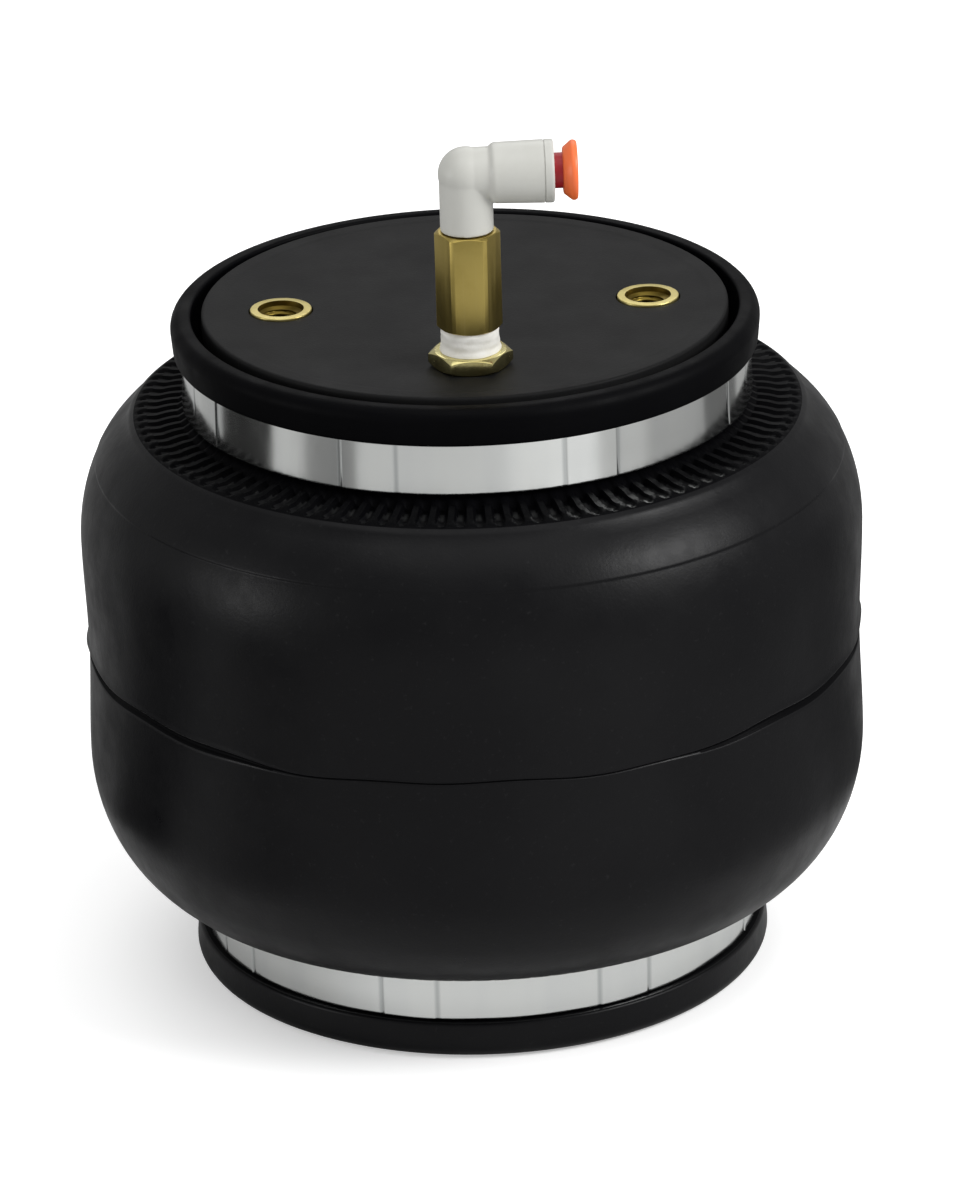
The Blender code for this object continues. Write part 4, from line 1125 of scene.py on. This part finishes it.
def studio_cards():
    """Grey cards on the floor round the object, seen only in its reflections."""
    angles = circle(72)
    radii = np.array([[CARD_INNER], [CARD_OUTER]])
    flat = np.full((2, len(angles)), 0.001)
    mesh = grid_mesh("studio_cards", radii * np.cos(angles), radii * np.sin(angles), flat, False)
    cards = add("studio_cards", mesh)
    made = Finish("grey_cards", (0.5, 0.5, 0.5), 0.9, specular=0.0)
    parts = made.node("ShaderNodeSeparateXYZ", Vector=made.coordinates)
    forwards = made.math("MULTIPLY", parts.outputs["Y"], -1.0)
    angle = made.math("ARCTAN2", parts.outputs["X"], forwards)
    ramp = made.tree.nodes.new("ShaderNodeValToRGB")
    made.put(ramp.inputs[0], made.spread(angle, -math.pi, math.pi))
    levels = []
    for (start, level), (_, before) in zip(CARDS, CARDS[-1:] + CARDS):
        levels += [(start, before), (start + CARD_EDGE, level)]
    stops = ramp.color_ramp.elements
    while len(stops) < len(levels):
        stops.new(1.0)
    for stop, (degrees, level) in zip(stops, levels):
        stop.position = (degrees + 180.0) / 360.0
        stop.color = (level, level, level, 1.0)
    made.put(made.shader.inputs["Base Color"], ramp.outputs["Color"])
    cards.data.materials.append(made.material)
    cards.visible_camera = False
    cards.visible_diffuse = False
    cards.visible_shadow = False


def studio_world():
    """White to the camera and through glass, a dimmer room in reflections, and an even grey light
    for everything else."""
    world = bpy.data.worlds.new("studio_world")
    world.use_nodes = True
    bpy.context.scene.world = world
    nodes, links = world.node_tree.nodes, world.node_tree.links
    background = nodes["Background"]
    background.inputs["Color"].default_value = (1.0, 1.0, 1.0, 1.0)
    path = nodes.new("ShaderNodeLightPath")
    strength = WORLD_LIGHT
    rays = {"Is Glossy Ray": WORLD_IN_GLOSS, "Is Transmission Ray": 1.0, "Is Camera Ray": 1.0}
    for ray, level in rays.items():
        choice = nodes.new("ShaderNodeMix")
        links.new(path.outputs[ray], choice.inputs[0])
        choice.inputs[3].default_value = level
        if isinstance(strength, float):
            choice.inputs[2].default_value = strength
        else:
            links.new(strength, choice.inputs[2])
        strength = choice.outputs[0]
    links.new(strength, background.inputs["Strength"])


def camera():
    """A long lens from the front, turned a little so that the object leans as in the photo."""
    elevation, azimuth = math.radians(CAMERA_ELEVATION), math.radians(CAMERA_AZIMUTH)
    target = Vector(CAMERA_TARGET)
    away = Vector((
        -math.sin(azimuth) * math.cos(elevation),
        -math.cos(azimuth) * math.cos(elevation),
        math.sin(elevation),
    ))
    data = bpy.data.cameras.new("camera")
    data.sensor_fit = "VERTICAL"
    data.sensor_height = SENSOR_HEIGHT
    data.lens = SENSOR_HEIGHT * FOCAL_LENGTH / PHOTO_HEIGHT
    data.clip_start = 0.05
    obj = bpy.data.objects.new("camera", data)
    obj.location = target + away * CAMERA_DISTANCE
    aim(obj, target)
    bpy.context.view_layer.update()
    turn = obj.rotation_euler.to_matrix()
    across, upward = turn.col[0], turn.col[1]
    obj.location += across * CAMERA_ACROSS - upward * CAMERA_DOWN
    roll = Matrix.Rotation(-math.radians(CAMERA_ROLL), 3, "Z")
    obj.rotation_euler = (turn @ roll).to_euler()
    bpy.context.scene.collection.objects.link(obj)
    bpy.context.scene.camera = obj


studio_floor()
studio_cards()
studio_world()
for name, lamp in LAMPS.items():
    softbox(name, *lamp)
camera()
bpy.context.scene.view_settings.view_transform = "Standard"
